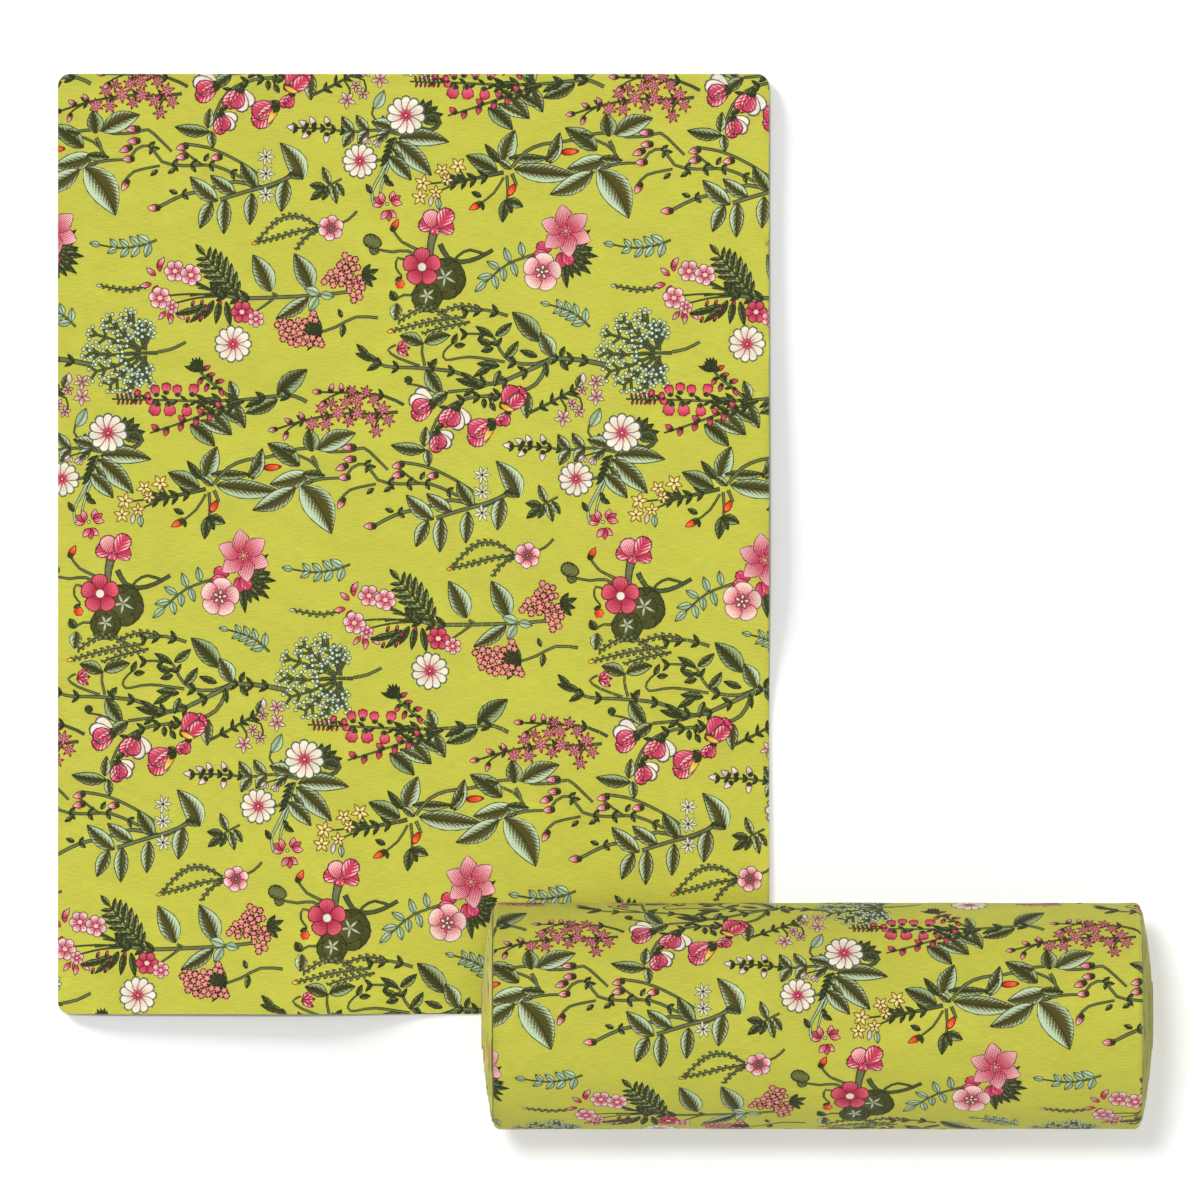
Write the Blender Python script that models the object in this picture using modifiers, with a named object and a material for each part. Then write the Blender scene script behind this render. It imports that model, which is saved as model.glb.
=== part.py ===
"""A bolt of printed cloth wound on a cardboard tube, lying across the corner of a flat length of the same cloth.

Metres, +Z up. The floor is z = 0 and the origin is the middle of the whole footprint.
The roll's axis runs along X. The flat length lies under it, and its front edge is just below the roll's axis.
"""

import math

import bmesh
import bpy

# ---- driving dimensions -------------------------------------------------------------------------------------
SHEET_WIDTH = 0.6386  # flat length, along X
SHEET_LENGTH = 0.8443  # flat length, along Y
SHEET_THICKNESS = 0.0006
SHEET_CORNER = 0.0110  # radius of the flat length's rounded corners
SHEET_X = -0.1711  # middle of the flat length
SHEET_Y = 0.05075

ROLL_LENGTH = 0.6000  # along X, over the core
ROLL_RADIUS = 0.1019  # outermost turn
ROLL_X = 0.1904  # middle of the roll
ROLL_Y = -0.3710
FIT_GAP = 0.0003  # kept between pieces that touch
ROLL_Z = SHEET_THICKNESS + FIT_GAP + ROLL_RADIUS  # height of the roll's axis

END_DOME = 1.05  # the ends fall back by END_DOME * r * r (per metre) from the core out
EDGE_ROUND = 0.0060  # rounding of the outermost turns at each end

CORE_OUTER = 0.0300
CORE_BORE = 0.0250
WOUND_BORE = 0.0310  # innermost turn, with the core's outer wrap and the starter tape inside it

TURN_PITCH = 0.0017  # how far the outside drops behind the free end: a doubled turn and its fit gap
TAIL_START = 203.0  # degrees round the axis from +Y towards +Z: where the last turn starts to lift
TAIL_END = 227.0  # the free end
TAIL_THICKNESS = 0.0008
TAIL_OUTER = ROLL_RADIUS - 0.0006

TAPE_WIDTH = 0.0240
TAPE_THICKNESS = 0.0003
TAPE_START = 220.5
TAPE_END = 234.5
TAPE_OFFSETS = {"left": -0.2250, "middle": 0.0, "right": 0.2250}

STARTER_RADIUS = CORE_OUTER + FIT_GAP
STARTER_HALF_ANGLE = 42.0
STARTER_LENGTH = 0.5600

ROUND_STEPS = 72  # facets round the roll
CORE_STEPS = 32

# ---- a clean scene ------------------------------------------------------------------------------------------
for old in list(bpy.data.objects):
    bpy.data.objects.remove(old, do_unlink=True)

part = bpy.data.collections.new("fabric_bolt")
bpy.context.scene.collection.children.link(part)


def material(name, colour, roughness, sheen=0.0):
    m = bpy.data.materials.new(name)
    m.use_nodes = True
    p = m.node_tree.nodes["Principled BSDF"]
    p.inputs["Base Color"].default_value = (*colour, 1.0)
    p.inputs["Roughness"].default_value = roughness
    p.inputs["Metallic"].default_value = 0.0
    p.inputs["Sheen Weight"].default_value = sheen
    m.diffuse_color = (*colour, 1.0)
    return m


flat_cloth = material("flat_cloth", (0.591, 0.591, 0.080), 0.88, 0.2)
roll_cloth = material("roll_cloth", (0.560, 0.560, 0.074), 0.88, 0.2)
tail_cloth = material("tail_cloth", (0.520, 0.520, 0.070), 0.88, 0.2)
kraft_board = material("kraft_board", (0.376, 0.254, 0.144), 0.86)
clear_tape = material("clear_tape", (0.610, 0.600, 0.400), 0.35)
paper_tape = material("paper_tape", (0.610, 0.530, 0.360), 0.80)


def new_object(name, bm, mat, smooth=True):
    """Puts a bmesh into an object of its own, with its faces turned outwards."""
    bmesh.ops.recalc_face_normals(bm, faces=bm.faces[:])
    mesh = bpy.data.meshes.new(name)
    bm.to_mesh(mesh)
    bm.free()
    mesh.materials.append(mat)
    if smooth:
        mesh.shade_smooth()
        mesh.set_sharp_from_angle(angle=math.radians(35))
    ob = bpy.data.objects.new(name, mesh)
    part.objects.link(ob)
    return ob


def empty(name, place):
    e = bpy.data.objects.new(name, None)
    e.empty_display_size = 0.05
    e.location = place
    part.objects.link(e)
    return e


def hang(ob, parent, parent_place):
    """Parents ob, whose mesh is in world coordinates, without moving it."""
    ob.parent = parent
    ob.location = tuple(-c for c in parent_place)


# ---- the frame: one empty on each joint's axis --------------------------------------------------------------
bolt_place = (ROLL_X, ROLL_Y, ROLL_Z)
bolt_axis = empty("bolt_turn_axis", bolt_place)

tail_radius = TAIL_OUTER - TAIL_THICKNESS / 2
tail_place = (
    ROLL_X,
    ROLL_Y + tail_radius * math.cos(math.radians(TAIL_START)),
    ROLL_Z + tail_radius * math.sin(math.radians(TAIL_START)),
)
tail_axis = empty("tail_lift_axis", tail_place)
tail_axis.parent = bolt_axis
tail_axis.location = tuple(a - b for a, b in zip(tail_place, bolt_place))


def end_x(r):
    """Half the length of the roll at radius r: the ends are shallow domes."""
    return ROLL_LENGTH / 2 - END_DOME * r * r


# ---- the flat length: a thin slab with rounded corners ------------------------------------------------------
bm = bmesh.new()
bmesh.ops.create_cube(bm, size=1.0)
bmesh.ops.scale(bm, vec=(SHEET_WIDTH, SHEET_LENGTH, SHEET_THICKNESS), verts=bm.verts[:])
bmesh.ops.translate(bm, vec=(SHEET_X, SHEET_Y, SHEET_THICKNESS / 2), verts=bm.verts[:])
upright = [e for e in bm.edges if abs(e.verts[0].co.z - e.verts[1].co.z) > SHEET_THICKNESS / 2]
bmesh.ops.bevel(bm, geom=upright, offset=SHEET_CORNER, segments=6, profile=0.5, affect="EDGES")
new_object("flat_length", bm, flat_cloth, smooth=False)


# ---- the wound cloth: a turned shape whose outside is one turn of a spiral ----------------------------------
def roll_profile():
    """(x, r) points of the wound cloth's outer side, from +X end at the bore to the -X end at the bore."""
    rim_x = end_x(ROLL_RADIUS)
    outer = []
    for i in range(5):  # the right-hand dome
        r = WOUND_BORE + (ROLL_RADIUS - EDGE_ROUND - WOUND_BORE) * i / 4
        outer.append((end_x(r), r))
    for i in range(1, 4):  # the rounding of the outer turns
        a = math.radians(30 * i)
        outer.append(
            (
                rim_x - EDGE_ROUND + EDGE_ROUND * math.cos(a),
                ROLL_RADIUS - EDGE_ROUND + EDGE_ROUND * math.sin(a),
            )
        )
    return outer + [(-x, r) for x, r in reversed(outer)]


profile = roll_profile()
bm = bmesh.new()
ring = [bm.verts.new((r, 0.0, x)) for x, r in profile]
for a, b in zip(ring, ring[1:]):
    bm.edges.new((a, b))
bm.edges.new((ring[-1], ring[0]))  # the bore
mesh = bpy.data.meshes.new("wound_profile")
bm.to_mesh(mesh)
bm.free()
turned = bpy.data.objects.new("wound_profile", mesh)
part.objects.link(turned)
screw = turned.modifiers.new("turn", "SCREW")
screw.axis = "Z"
screw.angle = math.tau
screw.steps = screw.render_steps = ROUND_STEPS
screw.use_merge_vertices = True
screw.merge_threshold = 0.00005
evaluated = turned.evaluated_get(bpy.context.evaluated_depsgraph_get())
body = bpy.data.meshes.new_from_object(evaluated)
bpy.data.objects.remove(turned, do_unlink=True)
bpy.data.meshes.remove(mesh)

# The turned shape's steps are moved round so that two of them stand close together at TAIL_START, where the outside
# steps up by one turn. The rest share the circle evenly.
STEP = 360.0 / ROUND_STEPS
first = ROUND_STEPS - 1


def station_angle(i):
    """Angle of step i. Steps 0 .. first - 1 run from just under the lifting line round to it; the last one is on it."""
    if i == first:
        return TAIL_START + 360.0
    return TAIL_START + 0.35 + (360.0 - 0.70) * i / (first - 1)


def outer_drop(angle):
    """How far the outside lies below ROLL_RADIUS, by angle from TAIL_START round to TAIL_START + 360."""
    if angle >= TAIL_START + 359.9:
        return 0.0
    if angle <= TAIL_END:
        return TURN_PITCH
    return TURN_PITCH * (1.0 - (angle - TAIL_END) / (TAIL_START + 360.0 - TAIL_END))


bm = bmesh.new()
bm.from_mesh(body)
bpy.data.meshes.remove(body)
bmesh.ops.remove_doubles(bm, verts=bm.verts[:], dist=0.00005)
for v in bm.verts:
    turn = math.degrees(math.atan2(v.co.y, v.co.x)) % 360.0
    step = round(turn / STEP) % ROUND_STEPS
    angle = station_angle(step)
    r = math.hypot(v.co.x, v.co.y)
    share = max(0.0, (r - CORE_OUTER - 0.02) / (ROLL_RADIUS - CORE_OUTER - 0.02))
    r -= outer_drop(angle) * min(1.0, share)
    a = math.radians(angle)
    v.co = (ROLL_X + v.co.z, ROLL_Y + r * math.cos(a), ROLL_Z + r * math.sin(a))
wound = new_object("wound_cloth", bm, roll_cloth)
hang(wound, bolt_axis, bolt_place)


# ---- the core tube ------------------------------------------------------------------------------------------
bm = bmesh.new()
ring = [
    bm.verts.new((r, 0.0, z))
    for r, z in (
        (CORE_OUTER, ROLL_LENGTH / 2),
        (CORE_OUTER, -ROLL_LENGTH / 2),
        (CORE_BORE, -ROLL_LENGTH / 2),
        (CORE_BORE, ROLL_LENGTH / 2),
    )
]
for i in range(4):
    bm.edges.new((ring[i], ring[(i + 1) % 4]))
mesh = bpy.data.meshes.new("core_tube")
bm.to_mesh(mesh)
bm.free()
mesh.materials.append(kraft_board)
core = bpy.data.objects.new("core_tube", mesh)
part.objects.link(core)
screw = core.modifiers.new("turn", "SCREW")
screw.axis = "Z"
screw.angle = math.tau
screw.steps = screw.render_steps = CORE_STEPS
screw.use_merge_vertices = True
screw.merge_threshold = 0.00005
screw.use_smooth_shade = True
core.parent = bolt_axis
core.rotation_euler = (0.0, math.radians(90.0), 0.0)


# ---- curved strips: the starter tape, the lifting end and its tapes ----------------------------------------
def strip(name, mat, x_mid, width, start, end, radius_at, thickness, x_cuts, arc_cuts, parent, place):
    """A strip that follows the roll's curve from start to end degrees. radius_at gives its inner face's radius."""
    bm = bmesh.new()
    bmesh.ops.create_grid(bm, x_segments=x_cuts, y_segments=arc_cuts, size=0.5)
    for v in bm.verts:
        angle = start + (end - start) * (v.co.y + 0.5)
        a = math.radians(angle)
        r = radius_at(angle)
        v.co = (ROLL_X + x_mid + v.co.x * width, ROLL_Y + r * math.cos(a), ROLL_Z + r * math.sin(a))
    for f in bm.faces:
        f.normal_update()
        middle = f.calc_center_median()
        if f.normal.y * (middle.y - ROLL_Y) + f.normal.z * (middle.z - ROLL_Z) < 0:
            f.normal_flip()
    mesh = bpy.data.meshes.new(name)
    bm.to_mesh(mesh)
    bm.free()
    mesh.materials.append(mat)
    mesh.shade_smooth()
    mesh.set_sharp_from_angle(angle=math.radians(35))
    ob = bpy.data.objects.new(name, mesh)
    part.objects.link(ob)
    shell = ob.modifiers.new("thickness", "SOLIDIFY")
    shell.thickness = thickness
    shell.offset = 1.0
    shell.use_even_offset = True
    hang(ob, parent, place)
    return ob


strip(
    "starter_tape", paper_tape, 0.0, STARTER_LENGTH, 90.0 - STARTER_HALF_ANGLE, 90.0 + STARTER_HALF_ANGLE,
    lambda angle: STARTER_RADIUS, TAPE_THICKNESS, 1, 12, bolt_axis, bolt_place,
)  # fmt: skip

tail_inner = TAIL_OUTER - TAIL_THICKNESS
tail_half = end_x(ROLL_RADIUS) - EDGE_ROUND * 0.6
strip(
    "tail_flap", tail_cloth, 0.0, 2 * tail_half, TAIL_START + 0.7, TAIL_END,
    lambda angle: tail_inner, TAIL_THICKNESS, 8, 8, tail_axis, tail_place,
)  # fmt: skip


def tape_radius(angle):
    """The tape's inner face: on the tail, then down over its free end to the turn below."""
    high = TAIL_OUTER + FIT_GAP
    low = ROLL_RADIUS - TURN_PITCH + FIT_GAP + 0.0002
    if angle <= TAIL_END + 0.5:
        return high
    if angle >= TAIL_END + 2.5:
        return low
    t = (angle - TAIL_END - 0.5) / 2.0
    return high + (low - high) * t * t * (3 - 2 * t)


for side, offset in TAPE_OFFSETS.items():
    strip(
        "closing_tape_" + side, clear_tape, offset, TAPE_WIDTH, TAPE_START, TAPE_END,
        tape_radius, TAPE_THICKNESS, 1, 28, tail_axis, tail_place,
    )  # fmt: skip
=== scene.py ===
"""A bolt of printed cloth on a cardboard tube, lying across the corner of a flat length of the same cloth.

The cloth's print is drawn here as outlines, cut into the cloth's own mesh, and coloured by material nodes.
"""

import math
import random

import bmesh
import bpy
import numpy as np
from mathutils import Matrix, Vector
from mathutils.geometry import delaunay_2d_cdt


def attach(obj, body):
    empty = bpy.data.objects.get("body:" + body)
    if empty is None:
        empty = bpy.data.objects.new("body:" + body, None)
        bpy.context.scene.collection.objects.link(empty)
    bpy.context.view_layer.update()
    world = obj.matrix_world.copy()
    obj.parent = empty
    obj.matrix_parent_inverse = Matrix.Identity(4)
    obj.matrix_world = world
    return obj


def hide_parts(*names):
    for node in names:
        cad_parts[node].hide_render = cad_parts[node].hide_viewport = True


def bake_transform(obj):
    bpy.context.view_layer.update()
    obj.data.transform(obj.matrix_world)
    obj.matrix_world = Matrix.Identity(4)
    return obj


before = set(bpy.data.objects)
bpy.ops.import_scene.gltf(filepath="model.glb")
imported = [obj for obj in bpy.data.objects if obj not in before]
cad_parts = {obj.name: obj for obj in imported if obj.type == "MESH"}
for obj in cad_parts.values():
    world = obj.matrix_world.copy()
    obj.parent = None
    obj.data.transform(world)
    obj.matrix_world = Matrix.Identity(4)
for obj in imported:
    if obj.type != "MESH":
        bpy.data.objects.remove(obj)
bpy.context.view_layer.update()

# ---- sizes shared with the CAD model, in metres and degrees -------------------------------------------------
SHEET_X, SHEET_Y, SHEET_WIDTH, SHEET_LENGTH, SHEET_CORNER = -0.1711, 0.05075, 0.6386, 0.8443, 0.011
ROLL_X, ROLL_Y, ROLL_Z, ROLL_RADIUS = 0.1904, -0.3710, 0.1028, 0.1019
END_DOME, EDGE_ROUND = 1.05, 0.006
CORE_OUTER, CORE_BORE, WOUND_BORE = 0.030, 0.025, 0.031
TURN_DROP, TAIL_START, TAIL_END = 0.0017, 203.0, 227.0
TAPE_WIDTH, TAPE_START, TAPE_END = 0.024, 220.5, 234.5
CLOTH = 0.00050  # one layer of cloth

# ---- the print: sprays of leaves and flowers, drawn as outlines in a plane ----------------------------------
# Drawing units are 0.8982 mm, with y downwards. Every shape is a polygon with its own straight frame: t runs from
# 0 to 1 along it and v from -1 to 1 across it, so its shading, veins and ink line come from the material's nodes.
UNIT = 0.0008982
REPEAT_A, REPEAT_B = (514.0, 0.0), (206.0, 322.0)
INK_STRENGTH = 0.80
rng = random.Random(7)


def lin(*c):
    return tuple(((x / 255 + 0.055) / 1.055) ** 2.4 if x > 10 else x / 255 / 12.92 for x in c)


class Ink:
    """Colours at the shape's start or middle (a), at its tip or edge (b), and of its line, and how it is shaded."""

    def __init__(self, a, b, line, across=1.0, hatch=0.3, width=1.35):
        self.a, self.b, self.line = lin(*a), lin(*b), lin(*line)
        self.across, self.hatch, self.width = across, hatch, width


LINE = (44, 52, 30)
WINE = (98, 26, 44)
LEAF = Ink((84, 78, 30), (202, 222, 184), LINE, 1, 0.17)
LEAF_DEEP = Ink((70, 68, 28), (166, 184, 134), LINE, 1, 0.18)
LEAF_DARK = Ink((62, 64, 32), (118, 130, 82), LINE, 1, 0.28)
LEAF_MINT = Ink((158, 186, 146), (212, 230, 208), (52, 66, 44), 1, 0.10)
STEM = Ink((112, 120, 80), (70, 76, 46), LINE, 1, 0.0, 0.9)
STEM_DARK = Ink((84, 92, 60), (56, 62, 38), LINE, 1, 0.0, 0.8)
STEM_MINT = Ink((176, 200, 164), (112, 130, 92), LINE, 1, 0.0, 0.8)
POD = Ink((112, 116, 66), (58, 62, 34), LINE, 1, 0.3)
ROUND_LEAF = Ink((92, 92, 44), (70, 74, 36), (36, 42, 24), 0, 0.3)
WHITE = Ink((244, 222, 200), (252, 249, 232), (62, 70, 44), 0, 0.14, 1.15)
CREAM = Ink((238, 226, 196), (248, 240, 218), (92, 44, 48), 0, 0.1)
BLUSH = Ink((222, 116, 126), (250, 228, 216), (84, 40, 44), 0, 0.26, 1.1)
PHLOX = Ink((216, 84, 108), (252, 234, 228), (86, 24, 42), 0, 0.24, 1.05)
PINK = Ink((186, 42, 72), (236, 108, 124), WINE, 0, 0.35)
ROSE = Ink((214, 66, 98), (246, 150, 164), WINE, 1, 0.35)
LILY = Ink((204, 56, 84), (252, 200, 202), WINE, 0, 0.42)
BELL = Ink((232, 104, 124), (212, 52, 84), (110, 24, 42), 0, 0.15)
PEA = Ink((214, 60, 92), (252, 212, 210), WINE, 1, 0.42)
SAIL = Ink((246, 236, 214), (250, 246, 236), (84, 60, 52), 0, 0.1)
HEART = Ink((200, 50, 80), (226, 96, 116), (130, 24, 46), 0, 0.0, 0.6)
STAR = Ink((214, 150, 150), (250, 240, 230), (84, 26, 40), 0, 0.08, 1.15)
STAR_WHITE = Ink((216, 214, 190), (252, 250, 240), (72, 74, 52), 0, 0.05, 0.9)
STAR_PINK = Ink((228, 132, 146), (178, 36, 68), (62, 14, 30), 0, 0.30, 0.9)
FLORET = Ink((246, 172, 154), (214, 76, 78), (84, 30, 30), 0, 0.0, 0.5)
STAR_GOLD = Ink((250, 230, 150), (222, 184, 92), (88, 34, 26), 0, 0.1, 1.2)
BUD = Ink((206, 56, 88), (250, 214, 214), (96, 30, 44), 0, 0.2)
BUD_WHITE = Ink((226, 190, 190), (250, 244, 238), (84, 74, 66), 0, 0.1)
FLAME = Ink((226, 60, 34), (255, 128, 66), (120, 30, 20), 0, 0.15)
GOLD = Ink((244, 190, 60), (252, 226, 130), (120, 70, 30), 0, 0.0)
DOT_MINT = Ink((206, 226, 204), (146, 176, 146), (46, 60, 38), 1, 0.0, 1.15)
DOT_WHITE = Ink((252, 252, 244), (236, 240, 226), (54, 60, 40), 1, 0.0, 0.9)
DOT_PINK = Ink((250, 200, 190), (222, 100, 110), (86, 22, 34), 1, 0.0, 0.75)
VEIN = Ink((236, 240, 222), (214, 222, 190), (150, 160, 118), 1, 0.0, 0.35)
ROSE_FLUSH = Ink((196, 56, 80), (240, 170, 166), (226, 130, 134), 0, 0.1, 0.25)
GAP = Ink((48, 42, 26), (60, 54, 32), (40, 36, 24), 0, 0.0, 0.4)
HUSK = Ink((118, 122, 84), (66, 72, 46), (44, 50, 30), 0, 0.0, 0.7)

# each shape's outline, and a row: origin 0-1, along 2-3, across 4-5, kind 6, p 7, q 8, bend 9, half width 10,
# length 11, line 12, hatch 13, across 14, colours 15-23
shapes = []


def put(points, origin, angle, length, half, kind, p, q, bend, ink):
    c, s = math.cos(angle), math.sin(angle)
    tone = INK_STRENGTH * rng.uniform(0.92, 1.08)
    colours = [k * tone for k in ink.a + ink.b] + [k * INK_STRENGTH for k in ink.line]
    shapes.append(
        (
            points,
            [*origin, c / length, s / length, -s / half, c / half, kind, p, q, bend, half, length]
            + [ink.width, ink.hatch, ink.across]
            + colours,
        )
    )


def leaf(x, y, deg, length, half, ink=LEAF, bend=0.0, p=0.85, q=0.85, steps=0):
    """A pointed leaf or petal that starts at (x, y). bend bows its middle sideways, in half widths."""
    steps = steps or (4 if length < 12 else 5 if length < 22 else 7)
    if ink in (LEAF, LEAF_DEEP, LEAF_MINT, LEAF_DARK):
        half *= 1.10
    a = math.radians(deg)
    c, s = math.cos(a), math.sin(a)
    ts = [0.5 - 0.5 * math.cos(math.pi * i / steps) for i in range(steps + 1)]
    middle = [bend * 4 * t * (1 - t) for t in ts]
    wide = [max(math.sin(math.pi * t**p), 0.0) ** q for t in ts]
    side = [(t, m + w) for t, m, w in zip(ts, middle, wide)] + [
        (t, m - w) for t, m, w in list(zip(ts, middle, wide))[-2:0:-1]
    ]
    points = [(x + c * t * length - s * v * half, y + s * t * length + c * v * half) for t, v in side]
    put(points, (x, y), a, length, half, 0, p, q, bend, ink)


def oval(x, y, deg, length, half, ink, widen=0.0, steps=0):
    """An oval or blunt petal that starts at (x, y). widen above 0 makes its far end the broader one."""
    steps = steps or (7 if length < 10 else 9 if length < 18 else 12)
    a = math.radians(deg)
    c, s = math.cos(a), math.sin(a)
    points = []
    for i in range(steps):
        f = math.tau * i / steps
        t = 0.5 - 0.5 * math.cos(f)
        v = (1 + widen * (t - 0.5)) * math.sin(f)
        points.append((x + c * t * length - s * v * half, y + s * t * length + c * v * half))
    put(points, (x, y), a, length, half, 1, widen, 1.0, 0.0, ink)


def dot(x, y, r, ink, steps=6):
    oval(x - r, y, 0, 2 * r, r, ink, 0.0, steps)


def smooth(points, spacing=8.0):
    """Points a few units apart along a smooth curve through the given ones."""
    if len(points) == 2:
        points = [points[0], ((points[0][0] + points[1][0]) / 2, (points[0][1] + points[1][1]) / 2), points[1]]
    p = [points[0]] + list(points) + [points[-1]]
    out = [points[0]]
    for i in range(1, len(p) - 2):
        a, b, c, d = (np.array(k, float) for k in p[i - 1 : i + 3])
        n = max(2, int(np.linalg.norm(c - b) / spacing))
        for j in range(1, n + 1):
            t = j / n
            q = 0.5 * (2 * b + (c - a) * t + (2 * a - 5 * b + 4 * c - d) * t * t + (3 * b - a - 3 * c + d) * t**3)
            out.append((float(q[0]), float(q[1])))
    return out


def stem(points, width=1.7, end=None, ink=STEM, spacing=8.0):
    """A drawn stem, tapering from width to end. Returns its smooth points."""
    path = smooth(points, spacing)
    end = width * 0.55 if end is None else end
    width, end = 1.16 * width, 1.12 * end
    n = len(path) - 1
    sides = []
    for i, (x, y) in enumerate(path):
        x0, y0 = path[max(0, i - 1)]
        x1, y1 = path[min(n, i + 1)]
        d = math.hypot(x1 - x0, y1 - y0) or 1.0
        w = width + (end - width) * i / n
        sides.append((-(y1 - y0) / d * w, (x1 - x0) / d * w, w))
    for i in range(n):
        (xa, ya), (xb, yb) = path[i], path[i + 1]
        (ua, va, wa), (ub, vb, wb) = sides[i], sides[i + 1]
        points = [(xa + ua, ya + va), (xb + ub, yb + vb), (xb - ub, yb - vb), (xa - ua, ya - va)]
        put(points, (xa, ya), math.atan2(yb - ya, xb - xa), math.hypot(xb - xa, yb - ya) or 1e-3, (wa + wb) / 2,
            2, 1.0, 1.0, 0.0, ink)  # fmt: skip
    return path


def along(path, share):
    """The point and direction, in degrees, at a share of a path."""
    f = max(0.0, min(0.999, share)) * (len(path) - 1)
    i = int(f)
    (xa, ya), (xb, yb) = path[i], path[i + 1]
    return xa + (xb - xa) * (f - i), ya + (yb - ya) * (f - i), math.degrees(math.atan2(yb - ya, xb - xa))


def leafy(path, shares, length, half, ink=LEAF_DEEP, spread=48, sides=(-1, 1), shrink=0.0, **more):
    for k, share in enumerate(shares):
        x, y, d = along(path, share)
        for side in sides if len(sides) == 2 else (sides[0],):
            size = 1 - shrink * share
            leaf(x, y, d + side * spread + rng.uniform(-7, 7), length * size * rng.uniform(0.88, 1.1), half * size,
                 ink, bend=-side * 0.25, **more)  # fmt: skip


def catkin(points, size=5.0, ink=HUSK, tip=None):
    """A drooping spike of small husks."""
    path = stem(points, 1.3, 0.8, STEM_DARK, 5.0)
    total = sum(math.dist(a, b) for a, b in zip(path, path[1:]))
    n = max(5, int(total / 3.4))
    for i in range(n):
        share = 0.1 + 0.9 * i / n
        x, y, d = along(path, share)
        side = 1 if i % 2 else -1
        s = size * (0.75 + 0.35 * math.sin(math.pi * min(1, share * 1.1)))
        leaf(x, y, d + side * 38, s, s * 0.34, ink, steps=4)
    if tip:
        x, y, d = along(path, 0.97)
        leaf(x, y, d, size * 1.2, size * 0.42, tip, steps=5)
    return path


def ring(x, y, r, n, ink, turn=0.0, start=0.12, fat=1.05, widen=0.45, pointed=False, flat=1.0):
    """n petals round (x, y)."""
    for i in range(n):
        d = turn + 360.0 * i / n
        a = math.radians(d)
        px, py = x + start * r * math.cos(a), y + start * r * math.sin(a) * flat
        half = r * math.sin(math.pi / n) * 0.62 * fat
        if pointed:
            leaf(px, py, d, r * (1 - start), half, ink, p=0.8, q=0.75, steps=3 if r < 5 else 5)
        else:
            oval(px, py, d, r * (1 - start), half * 1.25, ink, widen)


def daisy(x, y, r, turn=0.0):
    ring(x, y, r, 11, WHITE, turn, 0.10, 1.12, 0.9)
    ring(x, y, r * 0.52, 11, ROSE_FLUSH, turn, 0.10, 0.42, pointed=True)
    ring(x, y, r * 0.28, 5, HEART, turn + 10, 0.0, 1.1, 0.3)
    dot(x, y, r * 0.085, DOT_PINK)


def pale_flower(x, y, r, n=5, turn=0.0, ink=BLUSH):
    ring(x, y, r, n, ink, turn, 0.10, 1.05, 0.55)
    ring(x, y, r * 0.5, n, HEART, turn + 180 / n, 0.12, 0.6, 0.0, pointed=True)
    ring(x, y, r * 0.42, n, CREAM, turn, 0.10, 0.6, 0.4)
    dot(x, y, r * 0.09, DOT_WHITE)


def phlox(x, y, r, turn=0.0, ink=PHLOX):
    ring(x, y, r, 6, ink, turn, 0.08, 1.0, 0.7)
    dot(x, y, r * 0.26, DOT_PINK)


def star(x, y, r, n=5, ink=STAR, turn=-90.0, heart=HUSK):
    ring(x, y, r, n, ink, turn, 0.0, 0.70 if ink is STAR_PINK else 0.80 if n == 5 else 0.74, pointed=True)
    dot(x, y, r * 0.16, heart, 6)


def bud(x, y, deg, length=11, ink=BUD, cup=LEAF_DARK, half=None):
    half = half or length * 0.32
    a = math.radians(deg)
    leaf(x, y, deg, length, half, ink, p=0.72, q=0.75, steps=6)
    for side in (-1, 1):
        leaf(x - math.cos(a), y - math.sin(a), deg + side * 16, length * 0.46, half * 0.62, cup, steps=4)


def bell(x, y, deg, size=9):
    oval(x, y, deg, size, size * 0.42, BELL, 0.7, 8)
    leaf(x - 1.2 * math.cos(math.radians(deg)), y - 1.2 * math.sin(math.radians(deg)), deg, size * 0.42, size * 0.26, LEAF_DARK, steps=4)


def pea(x, y, deg, size=22, sail=True, gold=False, side=1):
    """A hooded blossom on a dark cup, opening along deg, with its pale hood on one side."""
    if sail:
        oval(x, y, deg - side * 40, size * 0.84, size * 0.26, SAIL, 0.8)
        oval(x, y, deg - side * 12, size * 0.94, size * 0.27, SAIL, 0.8)
    oval(x, y, deg + side * 30, size * 0.94, size * 0.30, PEA, 0.7)
    oval(x, y, deg + side * 8, size * 0.82, size * 0.30, ROSE, 0.6)
    leaf(x, y, deg + side * 24, size * 0.76, size * 0.16, PEA, bend=0.3, p=0.75, q=0.6)
    if gold:
        leaf(x, y, deg + side * 52, size * 0.66, size * 0.12, GOLD, steps=5)
    c, s = math.cos(math.radians(deg)), math.sin(math.radians(deg))
    for d in (-38, 0, 38):
        leaf(x - 2 * c, y - 2 * s, deg + d, size * 0.30, size * 0.10, LEAF_DARK, steps=4)


def dots(x, y, rx, ry, n, r=3.5, ink=FLORET, tilt=0.0):
    """A head of tiny flowers, packed by a sunflower spiral."""
    n = max(4, round(n * 0.84))
    c, s = math.cos(tilt), math.sin(tilt)
    for i in range(n):
        f = math.sqrt((i + 0.5) / n)
        a = 2.39996 * i
        u, v = rx * f * math.cos(a), ry * f * math.sin(a)
        px, py = x + c * u - s * v, y + s * u + c * v
        dot(px, py, r * 1.15, GAP, 6)
        ring(px, py, r * rng.uniform(1.0, 1.2), 5, ink, rng.uniform(0, 72), 0.0, 1.05, pointed=True)


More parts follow.
